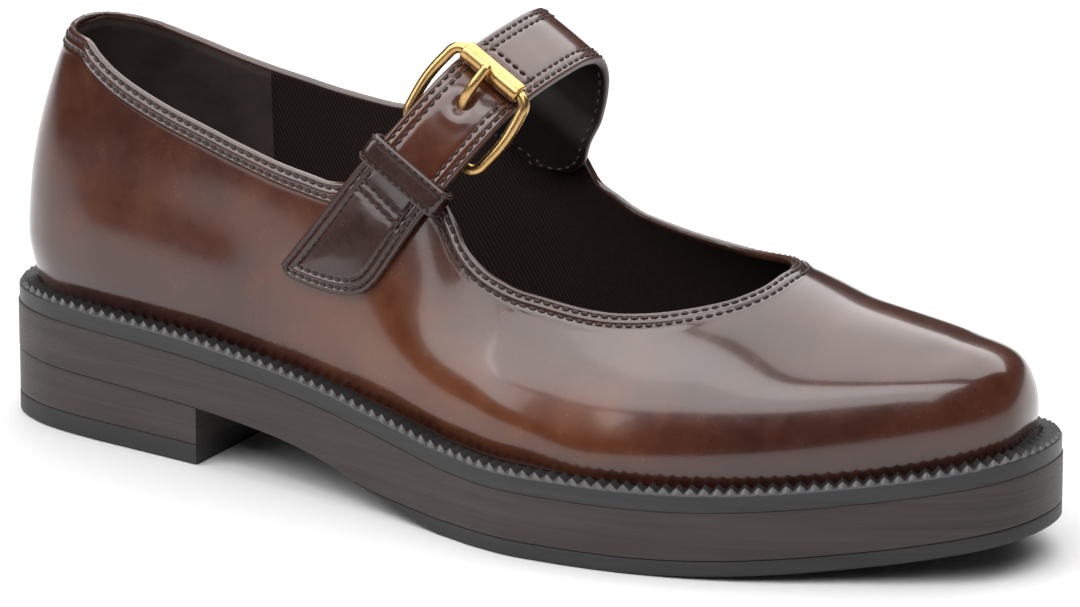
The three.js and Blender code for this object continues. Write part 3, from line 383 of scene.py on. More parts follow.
def last_normal(P, side):                                # slope of the last's own surface
    def level(x, y, zz):
        yc, w, h, p, z = section(x, side)
        return (np.abs(y - yc) / w) ** p + (np.maximum(zz - z, 0) / np.maximum(h, 1e-6)) ** p
    x, y, zz = P[..., 0], P[..., 1], P[..., 2]
    d = .4
    return unit(np.stack([level(x + d, y, zz) - level(x - d, y, zz), level(x, y + d, zz) - level(x, y - d, zz), level(x, y, zz + d) - level(x, y, zz - d)], -1))
square = np.linalg.norm(np.cross(unit(dv), unit(du)), axis=-1)
for _ in range(8):
    square = np.minimum(square, .5 * square + .25 * (np.roll(square, 1, 0) + np.roll(square, -1, 0)))
keep = (smooth(.55, .85, square) * (1 - (1 - smooth(14, 30, E)) * window(G[..., 0], 96, 112, 150, 170)))[..., None]
LN = np.concatenate([last_normal(G[:PER_SIDE + 1], -1), last_normal(G[PER_SIDE + 1:], 1)])
NRM = np.where((G[..., :1] > 60) & (G[..., :1] < 215), unit(NRM * keep + LN * (1 - keep)), NRM)
for _ in range(6):
    NRM = unit(NRM + .5 * (np.roll(NRM, 1, 0) + np.roll(NRM, -1, 0)))
# how the leather sits on the last: rolled edge, fuller heel and waist, flatter toe
H0 = G[..., 2] - feather(G[..., 0]); X0 = G[..., 0]
up_col = unit(G[:, 0] - G[:, 13]); tx = G[:, 0, 0]
rise = (1.0 + .6 * (G[:, 0, 1] > 0) * window(tx, 128, 142, 182, 198)) * (1 - smooth(188, 202, tx))
fit = .85 * (1 - smooth(22, 62, X0)) * smooth(2, 14, H0) - 2.5 * window(X0, 198, 224, 248, 265) * smooth(.45, .9, NRM[..., 2])
full = 1.1 * window(X0, 10, 34, 64, 86) + 2.1 * window(X0, 105, 132, 150, 182)
fit += full * np.exp(-((H0 - 14) / 12.5) ** 2) * smooth(0, 6, H0) * smooth(.35, .75, -NRM[..., 1])
G = G + NRM * fit[..., None] + up_col[:, None] * (rise[:, None] * (1 - smooth(0, 9, E)))[..., None]
FOOT_RUN = np.concatenate([[0], np.cumsum(np.linalg.norm(np.diff(G[:, -1], axis=0), axis=1))])
col_id = np.arange(NI); from_back = np.minimum(col_id, NI - col_id)
BACK_DIST = np.minimum(FOOT_RUN, FOOT_RUN[-1] - FOOT_RUN)[:, None]

groove = lambda e, at, wid: np.exp(-((e - at) / wid) ** 2)
round_in = lambda e, r: r * (1 - np.sqrt(np.clip(1 - (1 - np.clip(e / r, 0, 1)) ** 2, 0, 1)))
def swell(P, at, size, depth):
    d = (P - np.array(at, float)) / np.array(size, float)
    return depth * np.exp(-(d ** 2).sum(-1))
TOP = resample(G[:, 0], count=1500, closed=True)
for j in range(len(E_ROWS) + 12):
    near = np.empty(NI)
    for a in range(0, NI, 115):
        near[a:a + 115] = np.sqrt(((G[a:a + 115, j, None] - TOP[None]) ** 2).sum(-1).min(1))
    E[:, j] = np.minimum(E[:, j], near) if j else 0
puff = .20 * (1 - smooth(4.0, 5.0, E)) + .10 * groove(E, 2.5, .6)
out = puff - .32 * groove(E, STITCH_A, .42) - .32 * groove(E, STITCH_B, .42) - round_in(E, 1.0)
out -= .55 * groove(BACK_DIST, 0, .55) * smooth(.5, 3, E)                  # centre-back seam
out += .16 * groove(BACK_DIST, 1.9, 1.0) * smooth(.5, 3, E)
# soft troughs and ridges of the leather over the last
out += swell(G, (186, -26, 49), (13, 9, 9), -.42) + swell(G, (206, -14, 51), (12, 9, 9), .30)
out += swell(G, (150, -38, 44), (16, 9, 9), -.30) + swell(G, (118, -35, 52), (13, 9, 12), .28)
out += swell(G, (66, -27, 58), (18, 9, 12), -.30) + swell(G, (36, -25, 52), (13, 9, 11), .26)
OUTER = G + NRM * out[..., None]
lip = WALL - round_in(E, 1.0)
INNER = G - NRM * lip[..., None]
INNER[:, -1] = G[:, -1] - unit(NRM[:, -1] * np.array([1, 1, 0])) * WALL

H = G[..., 2] - feather(G[..., 0]); GX = G[..., 0]
tone = .24 + .50 * np.exp(-((H - 11) / 13) ** 2) * window(GX, 70, 112, 165, 222) + .26 * np.exp(-((H - 27) / 15) ** 2) * window(GX, 8, 40, 105, 150)
# toe slightly warmer low down and topline band darker; the last term is painted shade, darkening the leather in the few
# mm above the welt where it tucks in
tone += .10 * np.exp(-((H - 10) / 12) ** 2) * window(GX, 215, 245, 262, 270) - .14 * (1 - smooth(3.8, 5.5, E)) - .16 * np.exp(-(H / 3.2) ** 2)
upper = Build()
upper.add(OUTER, grid_quads(NI, NJ, ring_i=True), 0, tone=tone, edge=.35 * (1 - smooth(0, .5, E)), along=0, rise=0, slant=0)
lining_x = 46 + .12 * (90 - INNER[..., 2])
face_x = INNER[..., 0] + .0 * INNER[..., 2]
heel_zone = np.repeat((INNER[:, NJ // 2, 0] < 52).astype(int), NJ - 1)
inner_mat = np.where(E[:, :-1].reshape(-1) < .8, 0, np.where(heel_zone == 1, 2, 1))
step = -.35 * smooth(0, .8, 52 - INNER[:, NJ // 2, 0])[:, None]                     # heel lining lies over the cloth
INNER2 = INNER + NRM * (step * smooth(1, 3, E))[..., None]
INNER2[:, -1] = INNER[:, -1]
upper.add(INNER2, grid_quads(NI, NJ, ring_i=True, flip=True), inner_mat, tone=.12, edge=.2, along=np.broadcast_to(FOOT_RUN[:, None], (NI, NJ)).reshape(-1), rise=E.reshape(-1), slant=.5 * E.reshape(-1))
base = NI * NJ
i = np.arange(NI); nxt = (i + 1) % NI
upper.f.append(np.stack([i * NJ, base + i * NJ, base + nxt * NJ, nxt * NJ], 1)[:, ::-1]); upper.m.append(np.zeros(NI, int))
upper.f.append(np.stack([i * NJ + NJ - 1, nxt * NJ + NJ - 1, base + nxt * NJ + NJ - 1, base + i * NJ + NJ - 1], 1)[:, ::-1]); upper.m.append(np.zeros(NI, int))
upper.make("upper_leather", [LEATHER, TWILL, HEEL_LINING], "upper_leather", ["upper"], sharp=60)

st = Build()
def edge_line(e):
    j = np.argmax(E >= e, axis=1); k = np.arange(NI); f = ((e - E[k, j - 1]) / np.maximum(E[k, j] - E[k, j - 1], 1e-6))[:, None]
    p, n = OUTER[k, j - 1] * (1 - f) + OUTER[k, j] * f, unit(NRM[k, j - 1] * (1 - f) + NRM[k, j] * f)
    for _ in range(3):
        p = p * .5 + (np.roll(p, 1, 0) + np.roll(p, -1, 0)) * .25
    return p, n
for e in (STITCH_A, STITCH_B):
    p, n = edge_line(e)
    stitches(st, p + n * .10, n, closed=True)
st.make("topline_stitching", [THREAD], "upper_leather")

# ------------------------------------------------------------------ insole
bed = Build()
loop = INNER[:, -1, :2] - unit(NRM[:, -1, :2]) * .5
half = NI // 2
la = loop[:half + 1]; me_ = np.concatenate([loop[:1], loop[:half - 1:-1]])
fr = np.linspace(0, 1, 25)
bed_xy = la[:, None] * (1 - fr)[None, :, None] + me_[:, None] * fr[None, :, None]
dish = .9 * (np.abs(2 * fr - 1) ** 3)[None] - .2
bz = welt_top(bed_xy[..., 0]) + GAP + 3.0 - .7 + dish * smooth(0, 12, np.linalg.norm(la - me_, axis=1))[:, None]
bed.add(np.dstack([bed_xy, bz]), grid_quads(half + 1, 25), 0)
bed.add(np.dstack([bed_xy, welt_top(bed_xy[..., 0]) + GAP]), grid_quads(half + 1, 25, flip=True), 0)
m2 = (half + 1) * 25
ii = np.arange(half)
for c in (0, 24):
    q = np.stack([ii * 25 + c, (ii + 1) * 25 + c, m2 + (ii + 1) * 25 + c, m2 + ii * 25 + c], 1)
    bed.f.append(q if c == 0 else q[:, ::-1]); bed.m.append(np.zeros(half, int))
bed.make("footbed", [SMOOTH], "lining", ["insole"], sharp=50)

# ------------------------------------------------------------------ sole
def slab(name, x0, x1, bottom, top, n, mats, slot, node, bev=.35, proud=0.0, rows=10, across=9, sink=None, groove_at=()):
    g = np.linspace(girth(x0, 0, 272), girth(x1, 0, 272), n + 1)
    x = 272 * (1 - np.cos(g)) / 2; x[0], x[-1] = x0, x1
    side = []
    for f, sg in ((sole_lat, -1), (sole_med, 1)):
        p = np.stack([x, f(x)], 1); t = np.gradient(p, axis=0)
        nn = unit(np.stack([-t[:, 1] * sg, t[:, 0] * sg], 1))
        if x0 == 0: nn[0] = (-1, 0)
        if x1 == 272: nn[-1] = (1, 0)
        side.append((p, nn))
    zb, zt = bottom(x), top(x)
    hh = np.maximum(zt - zb, 1e-3); b = np.minimum(bev, hh * .45)
    prof = [(1.0, 0.0, 0.0), (.3, .3, 0.0), (0.0, 1.0, 0.0)]
    walls = []
    fr = np.linspace(0, 1, rows)
    ins = [b, b * .3, 0 * b] + [0 * b] * (rows - 2) + [0 * b, b * .3, b]
    zed = [zb, zb + b * .3, zb + b] + [zb + b + (hh - 2 * b) * k for k in fr[1:-1]] + [zt - b, zt - b * .3, zt]
    for p, nn in side:
        w = []
        for q, z in zip(ins, zed):
            dent = sum(d * np.exp(-((z - zz(x)) / wd) ** 2) for zz, d, wd in groove_at) if groove_at else 0
            o = proud - q - dent
            w.append(np.column_stack([p + nn * np.broadcast_to(o, (len(x),))[:, None], z]))
        walls.append(np.array(w))
    L, M = walls
    fa = np.linspace(0, 1, across + 2)[1:-1]
    bot = [L[0] + (M[0] - L[0]) * k for k in fa]; tp = [M[-1] + (L[-1] - M[-1]) * k for k in fa]
    if sink is not None:
        for k in range(len(bot)):
            bot[k] = bot[k] + np.column_stack([0 * x, 0 * x, sink(x, fa[k])])
    ring = np.array(bot + list(M) + tp + list(L[::-1]))           # closed section, stations along axis 1
    ring = np.transpose(ring, (1, 0, 2)); n_, m_ = ring.shape[:2]
    bld = Build()
    bld.add(ring, grid_quads(n_, m_, ring_j=True, flip=True), 0)
    for end, flip in ((0, False), (n_ - 1, True)):
        if abs(side[0][0][end, 1] - side[1][0][end, 1]) > 1:
            c = ring[end].mean(0); at = bld.n
            bld.add(np.vstack([ring[end], c]), [[k, (k + 1) % m_, m_, m_][::-1 if flip else 1] for k in range(m_)], 0)
    return bld.make(name, mats, slot, [node], sharp=32)

slab("heel_top_piece", 0, 64, lambda x: 0 * x, lambda x: 5.0 + 0 * x, 90, [TREAD], "tread_rubber", "heel_lift", bev=.5, proud=.05)
slab("heel_stack", 0, 64, lambda x: 5.04 + 0 * x, lambda x: arch_run(x) - .12, 90, [SIDE], "sole_stack", "heel_block", bev=.22, rows=14)
slab("platform", 0, 272, midsole_bottom, lambda x: welt_top(x) - 4.1 - .12, 260, [SIDE], "sole_stack", "midsole", bev=.16, proud=.08, rows=18, across=13)
ribs = lambda x, f: .9 * (smooth(.25, .6, np.sin(x * 2 * math.pi / 7.0)) * smooth(.06, .12, f) * (1 - smooth(.88, .94, f)) * smooth(128, 140, x) * (1 - smooth(252, 262, x)))
slab("forefoot_tread", 113, 272, tread, outsole_top, 420, [TREAD], "tread_rubber", "outsole", bev=.42, proud=.05, rows=6, across=23, sink=ribs)

# welt: smooth wall, toothed ledge; the outer slope of the teeth carries a painted highlight
xs = 272 * (1 - np.cos(np.linspace(0, math.pi, 900))) / 2
rim = np.vstack([np.column_stack([xs, sole_lat(xs)]), np.column_stack([xs, sole_med(xs)])[::-1][1:-1]])
TEETH, PER = 194, 4
rim = resample(rim, count=TEETH * PER, closed=True)
tg = unit(np.roll(rim, -1, 0) - np.roll(rim, 1, 0)); rn = np.stack([tg[:, 1], -tg[:, 0]], 1)
for _ in range(4):
    rn = unit(rn + .5 * (np.roll(rn, 1, 0) + np.roll(rn, -1, 0)))
ph = (np.arange(len(rim)) % PER) / PER
tooth = 1 - np.abs(2 * ph - 1)
wt = welt_top(rim[:, 0])
PROFILE = [(6.5, -4.2, 0), (1.2, -4.2, 0), (.32, -4.2, 0), (.22, -4.1, 0), (.2, -2.6, 0), (.2, -1.0, 0), (.24, -.22, 0), (.42, -.02, .12), (1.35, 0, 1.0),
           (3.0, 0, 1.0), (4.6, 0, 1.0), (5.3, -.02, .5), (5.9, -.02, 0), (11.5, -.02, 0)]
wp = []
for inset, dz, amp in PROFILE:
    q = rim - rn * inset
    wp.append(np.column_stack([q, wt + dz + 1.45 * amp * tooth]))
wp = np.transpose(np.array(wp), (1, 0, 2))
# faces between profile rows 7 and 8, the outer slope of each tooth, take the lighter painted-highlight material
Build().add(wp, grid_quads(len(rim), len(PROFILE), ring_i=True, ring_j=True), np.tile(np.arange(len(PROFILE)) == 7, len(rim)).astype(int)).make("notched_welt", [WELT, WELT_HIGHLIGHT], "sole_stack", ["welt"], sharp=20)

# ------------------------------------------------------------------ strap
run = np.concatenate([[0], np.cumsum(np.hypot(np.diff(STRAP["y"]), np.diff(STRAP["v"])))])
fy, fv, fb, ff = (curve(run, STRAP[k]) for k in ("y", "v", "back", "front"))
def strap_at(d):
    e = .4
    ty, tv = fy(np.minimum(run[-1], d + e)) - fy(np.maximum(0, d - e)), fv(np.minimum(run[-1], d + e)) - fv(np.maximum(0, d - e))
    l = np.hypot(ty, tv)
    return fy(d), fv(d), fb(d), ff(d), -tv / l, ty / l
SD = np.linspace(0, run[-1], 190)
sy, sv, sb, sf, sny, snv = strap_at(SD)
for a in (sny, snv):
    for _ in range(5):
        a[1:-1] = a[1:-1] * .5 + (a[:-2] + a[2:]) * .25
EDGE = np.array([0, .1, .28, .55, .9, 1.2, 1.5, 1.9, 2.5, 3.0, 3.5, 4.0, 5.0])
left = run[-1] - SD                                       # length left to the end inside the inner quarter
U = 11.0
pinch = np.where(left < U, 1 - np.sqrt(np.clip(1 - (1 - left / U) ** 2, 0, 1)), 0)
mid, halfw = (sb + sf) / 2, (sf - sb) / 2
halfw = np.maximum(halfw * (1 - .62 * pinch), 6.2)
sb, sf = mid - halfw, mid + halfw
mids = np.linspace(0, 1, 14)[1:-1]
W = np.concatenate([sb[:, None] + EDGE[None], (sb + EDGE[-1])[:, None] + (sf - sb - 2 * EDGE[-1])[:, None] * mids[None], sf[:, None] - EDGE[None, ::-1]], 1)
DE = np.minimum(W - sb[:, None], sf[:, None] - W)
def strap_surface(offset):
    P = on_plane(sy[:, None], sv[:, None], W)
    wall = last_y(P[..., 0], P[..., 2], 1) - (WALL * 1.25 + GAP)
    hold = (1 - smooth(3, 12, sv))[:, None] * (sy > 10)[:, None]
    P[..., 1] += (np.minimum(P[..., 1], wall) - P[..., 1]) * hold
    nrm = sny[:, None, None] * np.array([0, 1, 0]) + snv[:, None, None] * UPWARD
    return P + nrm * offset[..., None], np.broadcast_to(nrm, P.shape)
bare = smooth(6, 12, left)[:, None]
PRONG_D = None
hole_v, hole_w = 18.2, -.6
hole = np.hypot((sv[:, None] - hole_v) * 1.15, W - hole_w) + 60 * (sy[:, None] > -5)
so = .20 * np.sqrt(np.clip(DE / 9, 0, 1)) - .2 - round_in(DE, .9) - .28 * groove(DE, 1.5, .42) - .28 * groove(DE, 3.5, .42) + .10 * groove(DE, 2.5, .55)
so += -.75 * np.exp(-(hole / 1.9) ** 2) + .22 * np.exp(-((hole - 3.6) / 1.7) ** 2)
t_rows = [float(np.interp(yv, sy, SD)) for yv in (-9.5, -7.2)]
for tr in t_rows:
    so -= .28 * np.exp(-((SD[:, None] - tr) / .42) ** 2) * smooth(1.2, 2.2, DE)
so += .10 * np.exp(-((SD[:, None] - sum(t_rows) / 2) / .7) ** 2) * smooth(1.2, 2.2, DE)
si = -STRAP_THICK + round_in(DE, .9)
SO, SN = strap_surface(so); SI, _ = strap_surface(si)
ns, mw = W.shape
stp = Build()
stone = .34 + .16 * np.exp(-((sv - 8) / 9) ** 2)[:, None] * (sy < 0)[:, None] + 0 * W
stp.add(SO, grid_quads(ns, mw, flip=True), 0, tone=stone, edge=.75 * (1 - smooth(.1, .75, DE)))
stp.add(SI, grid_quads(ns, mw), np.where(DE[:-1, :-1].reshape(-1) < .5, 1, 2), tone=.3, edge=.9)
nb = ns * mw; k = np.arange(ns - 1)
for c, fl in ((0, True), (mw - 1, False)):
    q = np.stack([k * mw + c, (k + 1) * mw + c, nb + (k + 1) * mw + c, nb + k * mw + c], 1)
    stp.f.append(q[:, ::-1] if fl else q); stp.m.append(np.ones(ns - 1, int))
k = np.arange(mw - 1)
for r, fl in ((0, False), (ns - 1, True)):
    q = np.stack([r * mw + k, r * mw + k + 1, nb + r * mw + k + 1, nb + r * mw + k], 1)
    stp.f.append(q[:, ::-1] if fl else q); stp.m.append(np.ones(mw - 1, int))
stp.make("bar_strap", [LEATHER, TRIM_LEATHER, SMOOTH], "upper_leather", ["strap"], sharp=60)

sst = Build()
shown = (SD > 4) & (left > 8)
for c in (6, 10, mw - 7, mw - 11):
    stitches(sst, (SO[:, c] + SN[:, c] * .08)[shown], SN[:, c][shown], pitch=2.3, half=1.0, r=.38)
for tr in t_rows:
    kk = int(np.argmin(np.abs(SD - tr)))
    stitches(sst, (SO[kk, 6:mw - 6] + SN[kk, 6:mw - 6] * .08), SN[kk, 6:mw - 6], pitch=2.3, half=1.0, r=.38)
inside = left < 34
lower = np.concatenate([SI[inside][:, 6][::1], SI[-4, 7:mw - 7], SI[inside][:, mw - 7][::-1]])
lown = -np.concatenate([SN[inside][:, 6], SN[-4, 7:mw - 7], SN[inside][:, mw - 7][::-1]])
stitches(sst, lower + lown * .05, lown, pitch=2.6, half=.95, r=.32)
sst.make("strap_stitching", [THREAD], "upper_leather")

# ------------------------------------------------------------------ tab on the outer quarter
tab_back, tab_front, tab_end = curve(TAB_EDGE["v"], TAB_EDGE["back"]), curve(TAB_EDGE["v"], TAB_EDGE["front"]), curve(TAB_END["f"], TAB_END["v"])
def quarter(x, z, lift):
    e = .6; y = last_y(x, z, -1)
    dx = (last_y(x + e, z, -1) - last_y(x - e, z, -1)) / (2 * e); dz = (last_y(x, z + e, -1) - last_y(x, z - e, -1)) / (2 * e)
    n = unit(np.stack([dx, -np.ones_like(dx), dz], -1))
    return np.stack([x, y, z], -1) + n * np.asarray(lift)[..., None], n
def tab_point(w, v, lift):
    q = on_plane(0, v, w)
    return quarter(q[..., 0], q[..., 2], lift)
def ease(n, ends=.2):
    t = np.linspace(0, 1, n)
    return t + ends * np.sin(2 * math.pi * t) / (2 * math.pi) * -1
ft = ease(70, .75); kt = ease(90, .6)
V = tab_end(ft)[:, None] + (TAB_TOP - tab_end(ft))[:, None] * kt[None]
TW = tab_back(V) + (tab_front(V) - tab_back(V)) * ft[:, None]
border = np.vstack([np.column_stack([TW[0], V[0]])[::-1], np.column_stack([TW[:, 0], V[:, 0]]), np.column_stack([TW[-1], V[-1]])])
border = resample(border, step=.3)
TD = np.min(np.hypot(TW[..., None] - border[:, 0], V[..., None] - border[:, 1]), -1)
cross_rows = (-11.8, -14.0)
to = TAB_THICK + GAP + .1 - round_in(TD, .8) - .3 * groove(TD, 1.5, .42) - .3 * groove(TD, 3.5, .42) + .12 * groove(TD, 2.5, .55) + .25 * smooth(4, 9, TD) * (1 - smooth(-18, -13, V))
for cv in cross_rows:
    to -= .3 * np.exp(-((V - cv) / .42) ** 2) * smooth(1.2, 2.4, TD)
TO, TN = tab_point(TW, V, to); TL, _ = tab_point(TW, V, GAP + .1 + round_in(TD, .8))
na, nk = V.shape
tab = Build()
tab.add(TO, grid_quads(na, nk), 0, tone=.30 + 0 * V, edge=.6 * (1 - smooth(.1, .7, TD)))
tab.add(TL, grid_quads(na, nk, flip=True), 0, tone=.2, edge=.9)
nb = na * nk
for a, b, c, d in (((np.arange(nk - 1)), 0, 0, False), ((np.arange(nk - 1)), na - 1, 0, True)):
    q = np.stack([b * nk + a, b * nk + a + 1, nb + b * nk + a + 1, nb + b * nk + a], 1)
    tab.f.append(q[:, ::-1] if d else q); tab.m.append(np.zeros(len(q), int))
for b, d in ((0, True), (nk - 1, False)):
    a = np.arange(na - 1)
    q = np.stack([a * nk + b, (a + 1) * nk + b, nb + (a + 1) * nk + b, nb + a * nk + b], 1)
    tab.f.append(q[:, ::-1] if d else q); tab.m.append(np.zeros(len(q), int))

# places of roller and heel bar, as in the solids
fine = np.linspace(0, run[-1], 241)
fyv = strap_at(fine)
def seat(v):
    ok = np.where(fyv[0] < -5)[0]
    j = ok[np.argmin(np.abs(fyv[1][ok] - v))]
    return [float(c[j]) for c in fyv]
rs, hs, ks = seat(24.3), seat(9), seat(-.6)
ROLL = np.array([rs[0] + rs[4] * 3.0, rs[1] + rs[5] * 3.0]); depth = STRAP_THICK + 1.35 + 1.2 + .6
BAR = np.array([hs[0] - hs[4] * depth, hs[1] - hs[5] * depth])
for w0, w1 in ((-7.8, -2.3), (1.1, 7.2)):
    mid_p = on_plane(0, TAB_TOP - 1.2, (w0 + w1) / 2)
    root, _ = quarter(mid_p[0:1], mid_p[2:3], np.array([GAP + .1 + TAB_THICK / 2]))
    r = 1.35 + GAP + .6
    pth = [(root[0, 1], TAB_TOP - 1.2), ((root[0, 1] + BAR[0] - r) / 2, (TAB_TOP + BAR[1]) / 2 - 1)]
    pth += [(BAR[0] + r * math.cos(a), BAR[1] + r * math.sin(a)) for a in np.linspace(math.pi, 0, 20)] + [(BAR[0] + r, BAR[1] - 1.4)]
    pth = resample(pth, step=.45); tt = unit(np.gradient(pth, axis=0)); nn = np.stack([-tt[:, 1], tt[:, 0]], 1)
    wr = w0 + (w1 - w0) * np.array([0, .03, .1, .3, .5, .7, .9, .97, 1]); cr = .6 - .35 * np.array([1, .4, 0, 0, 0, 0, 0, .4, 1])
    up_, lo_ = [], []
    for wv, c in zip(wr, cr):
        a = pth + nn * c; b = pth - nn * c
        up_.append(on_plane(a[:, 0], a[:, 1], wv)); lo_.append(on_plane(b[:, 0], b[:, 1], wv))
    ringp = np.transpose(np.array(up_ + lo_[::-1]), (1, 0, 2))
    tab.add(ringp, grid_quads(len(pth), len(up_) * 2, ring_j=True), 0, tone=.3, edge=.15)
tab.make("buckle_tab", [TRIM_LEATHER], "upper_leather", ["strap_tab"], sharp=60)

tst = Build()
bt = unit(np.gradient(border, axis=0)); bn = np.stack([-bt[:, 1], bt[:, 0]], 1)
if (bn[len(bn) // 2] @ (np.array([-3., -20.]) - border[len(bn) // 2])) < 0:
    bn = -bn
for inset in (1.5, 3.5):
    q = border + bn * inset
    far = np.min(np.hypot(q[:, None, 0] - border[None, :, 0], q[:, None, 1] - border[None, :, 1]), 1) > inset * .96
    q = q[far & (q[:, 1] < -3.5)]
    lift = TAB_THICK + GAP + .1 - .3 + .1
    P, N = tab_point(q[:, 0], q[:, 1], np.full(len(q), lift))
    stitches(tst, P, N, pitch=2.25, half=.98, r=.37)
for cv in cross_rows:
    w = np.linspace(float(tab_back(cv)) + 4.2, float(tab_front(cv)) - 4.2, 40)
    P, N = tab_point(w, np.full(40, cv), np.full(40, TAB_THICK + GAP + .1 - .2))
    stitches(tst, P, N, pitch=2.25, half=.98, r=.37)
tst.make("tab_stitching", [THREAD], "upper_leather")

# ------------------------------------------------------------------ keeper loop
def off_plane(s, outv, along, w):
    return on_plane(s[0] + s[4] * outv + s[5] * along, s[1] + s[5] * outv - s[4] * along, w)
T = 1.3; lo_k, hi_k, ka, kb = -STRAP_THICK - GAP, GAP, -12.3 + T, 11.2 - T
rr = .55
corners = [(ka + rr, lo_k + rr, 180), (kb - rr, lo_k + rr, 270), (kb - rr, hi_k - rr, 0), (ka + rr, hi_k - rr, 90)]
def keeper_ring(radius):
    pts = []
    for cw, co, a0 in corners:
        for a in np.radians(a0 + np.linspace(0, 90, 9)):
            pts.append((cw + radius * math.cos(a), co + radius * math.sin(a)))
    pts = np.array(pts); dense = []
    for a, b in zip(pts, np.roll(pts, -1, 0)):
        n = max(1, int(np.hypot(*(b - a)) / .6))
        dense += [a + (b - a) * k / n for k in range(n)]
    return np.array(dense)
inner_r = keeper_ring(rr); outer_r = resample(keeper_ring(rr + T), count=220, closed=True); inner_r = resample(inner_r, count=220, closed=True)
al = np.array([-3.5, -3.44, -3.3, -3.05, -2.6, -2.1, -1.5, -.8, 0, .8, 1.5, 2.1, 2.6, 3.05, 3.3, 3.44, 3.5])
de = 3.5 - np.abs(al)
crown = .22 * (1 - (al / 3.5) ** 2)
kp = []
for a, d, c in zip(al, de, crown):
    f = 1 - float(round_in(np.array(d), .55)) / T - (.16 * math.exp(-((d - 1.25) / .35) ** 2)) / T
    q = inner_r + (outer_r - inner_r) * (f + c / T)
    kp.append(off_plane(ks, q[:, 1], a, q[:, 0]))
for a, d in zip(al[::-1], de[::-1]):
    f = float(round_in(np.array(d), .55)) / T
    q = inner_r + (outer_r - inner_r) * f
    kp.append(off_plane(ks, q[:, 1], a, q[:, 0]))
kp = np.transpose(np.array(kp), (1, 0, 2))
kedge = np.broadcast_to(np.concatenate([.7 * (1 - smooth(.05, .5, de)), np.full(len(al), .4)])[None], kp.shape[:2])
Build().add(kp, grid_quads(kp.shape[0], kp.shape[1], ring_i=True, ring_j=True), 0, tone=.32, edge=kedge.reshape(-1)).make("keeper", [TRIM_LEATHER], "upper_leather", ["keeper_loop"], sharp=60)
kst = Build()
for c in (4, 12):
    n_ = unit(kp[:, c] - kp[:, -1 - c])
    stitches(kst, kp[:, c] + n_ * .05, n_, pitch=2.1, half=.88, r=.33, closed=True, rise=.15)
kst.make("keeper_stitching", [THREAD], "upper_leather")

# ------------------------------------------------------------------ buckle
FL = float(np.hypot(*(BAR - ROLL))); fd = (BAR - ROLL) / FL; fn = np.array([fd[1], -fd[0]])
def on_frame(d, w, lift=0.0):
    return on_plane(ROLL[0] + fd[0] * d + fn[0] * lift, ROLL[1] + fd[1] * d + fn[1] * lift, w)
R, Hh = 3.2, 11.5
pth = []
def corner(cw, ct, a0):
    for a in np.radians(a0 + np.linspace(0, 90, 12)):
        pth.append((cw + R * math.cos(a), ct + R * math.sin(a)))
corner(Hh - R, FL - R, 0); corner(-(Hh - R), FL - R, 90)
pth += [(-Hh - .8 * math.sin(math.pi * k), (FL - R) + (2 * R - FL) * k) for k in np.linspace(.06, .94, 15)]
corner(-(Hh - R), R, 180); corner(Hh - R, R, 270)
pth += [(Hh + .8 * math.sin(math.pi * k), R + (FL - 2 * R) * k) for k in np.linspace(.06, .94, 15)]
pth = resample(pth, count=200, closed=True)
c3 = on_frame(pth[:, 1], pth[:, 0]); up3 = unit(on_frame(0, 0, 1.0) - on_frame(0, 0, 0.0))
tan = unit(np.roll(c3, -1, 0) - np.roll(c3, 1, 0)); outv = np.cross(tan, up3)
ang = np.linspace(0, 2 * math.pi, 20, endpoint=False)
tube = c3[:, None] + 1.35 * (np.cos(ang)[None, :, None] * outv[:, None] + np.sin(ang)[None, :, None] * up3[None, None] * .96)
Build().add(tube, grid_quads(200, 20, ring_i=True, ring_j=True), 0).make("buckle_wire", [BRASS], "buckle_metal", ["buckle_frame"], sharp=60)

prof = [(1.72, -8.6), (2.2, -8.6), (2.42, -8.5), (2.56, -8.25), (2.6, -7.8), (2.6, -4), (2.6, 0), (2.6, 4), (2.6, 7.8), (2.56, 8.25), (2.42, 8.5), (2.2, 8.6), (1.72, 8.6)]
e2, f2 = np.array([rs[4], rs[5]]), np.array([rs[5], -rs[4]])
ang = np.linspace(0, 2 * math.pi, 48, endpoint=False)
flat = 1 - .035 * (1 + np.cos(4 * ang))                      # faintly squared tube
rol = []
for r, w in prof:
    rad = r * (flat if r > 2 else 1.0)
    rol.append(on_plane(ROLL[0] + rad * (np.cos(ang) * e2[0] + np.sin(ang) * f2[0]), ROLL[1] + rad * (np.cos(ang) * e2[1] + np.sin(ang) * f2[1]), w))
rol = np.transpose(np.array(rol), (1, 0, 2))
Build().add(rol, grid_quads(48, len(prof), ring_i=True, ring_j=True, flip=True), 0).make("roller", [BRASS], "buckle_metal", ["buckle_roller"], sharp=40)

td = -fd; pn = np.array([-td[1], td[0]])
def at_prong(along, o):
    return np.array([BAR[0] + td[0] * along + pn[0] * o, BAR[1] + td[1] * along + pn[1] * o])
eye = 1.35 + 1.25 + .5
pp = [at_prong(eye * math.cos(a), eye * math.sin(a)) for a in np.radians(110 + 260 * (1 - np.linspace(0, 1, 24)))]
rest = 1.25 + 2.6 + .35
pp += [at_prong(s, o) for s, o in ((2.6, 2.3), (6, 1.3), (9, 1.1), (10.6, 1.6), (12.6, 3.1), (15, 4.3), (18, 4.7), (FL - 1, rest + .15), (FL + 1.8, rest - .1))]
pp = np.array(pp)
for _ in range(2):
    pp = np.vstack([pp[:1], np.column_stack([(pp[:-1] * .75 + pp[1:] * .25), (pp[:-1] * .25 + pp[1:] * .75)]).reshape(-1, 2), pp[-1:]])
pp = resample(pp, count=90); tt = unit(np.gradient(pp, axis=0)); nn = np.stack([-tt[:, 1], tt[:, 0]], 1)
s = np.linspace(0, 1, 90)
rad = 1.25 * (1 - .10 * smooth(.55, .95, s)) * np.sqrt(np.clip(1 - np.clip((s - .975) / .025, 0, 1) ** 2 * .75, .05, 1))
ang = np.linspace(0, 2 * math.pi, 16, endpoint=False)
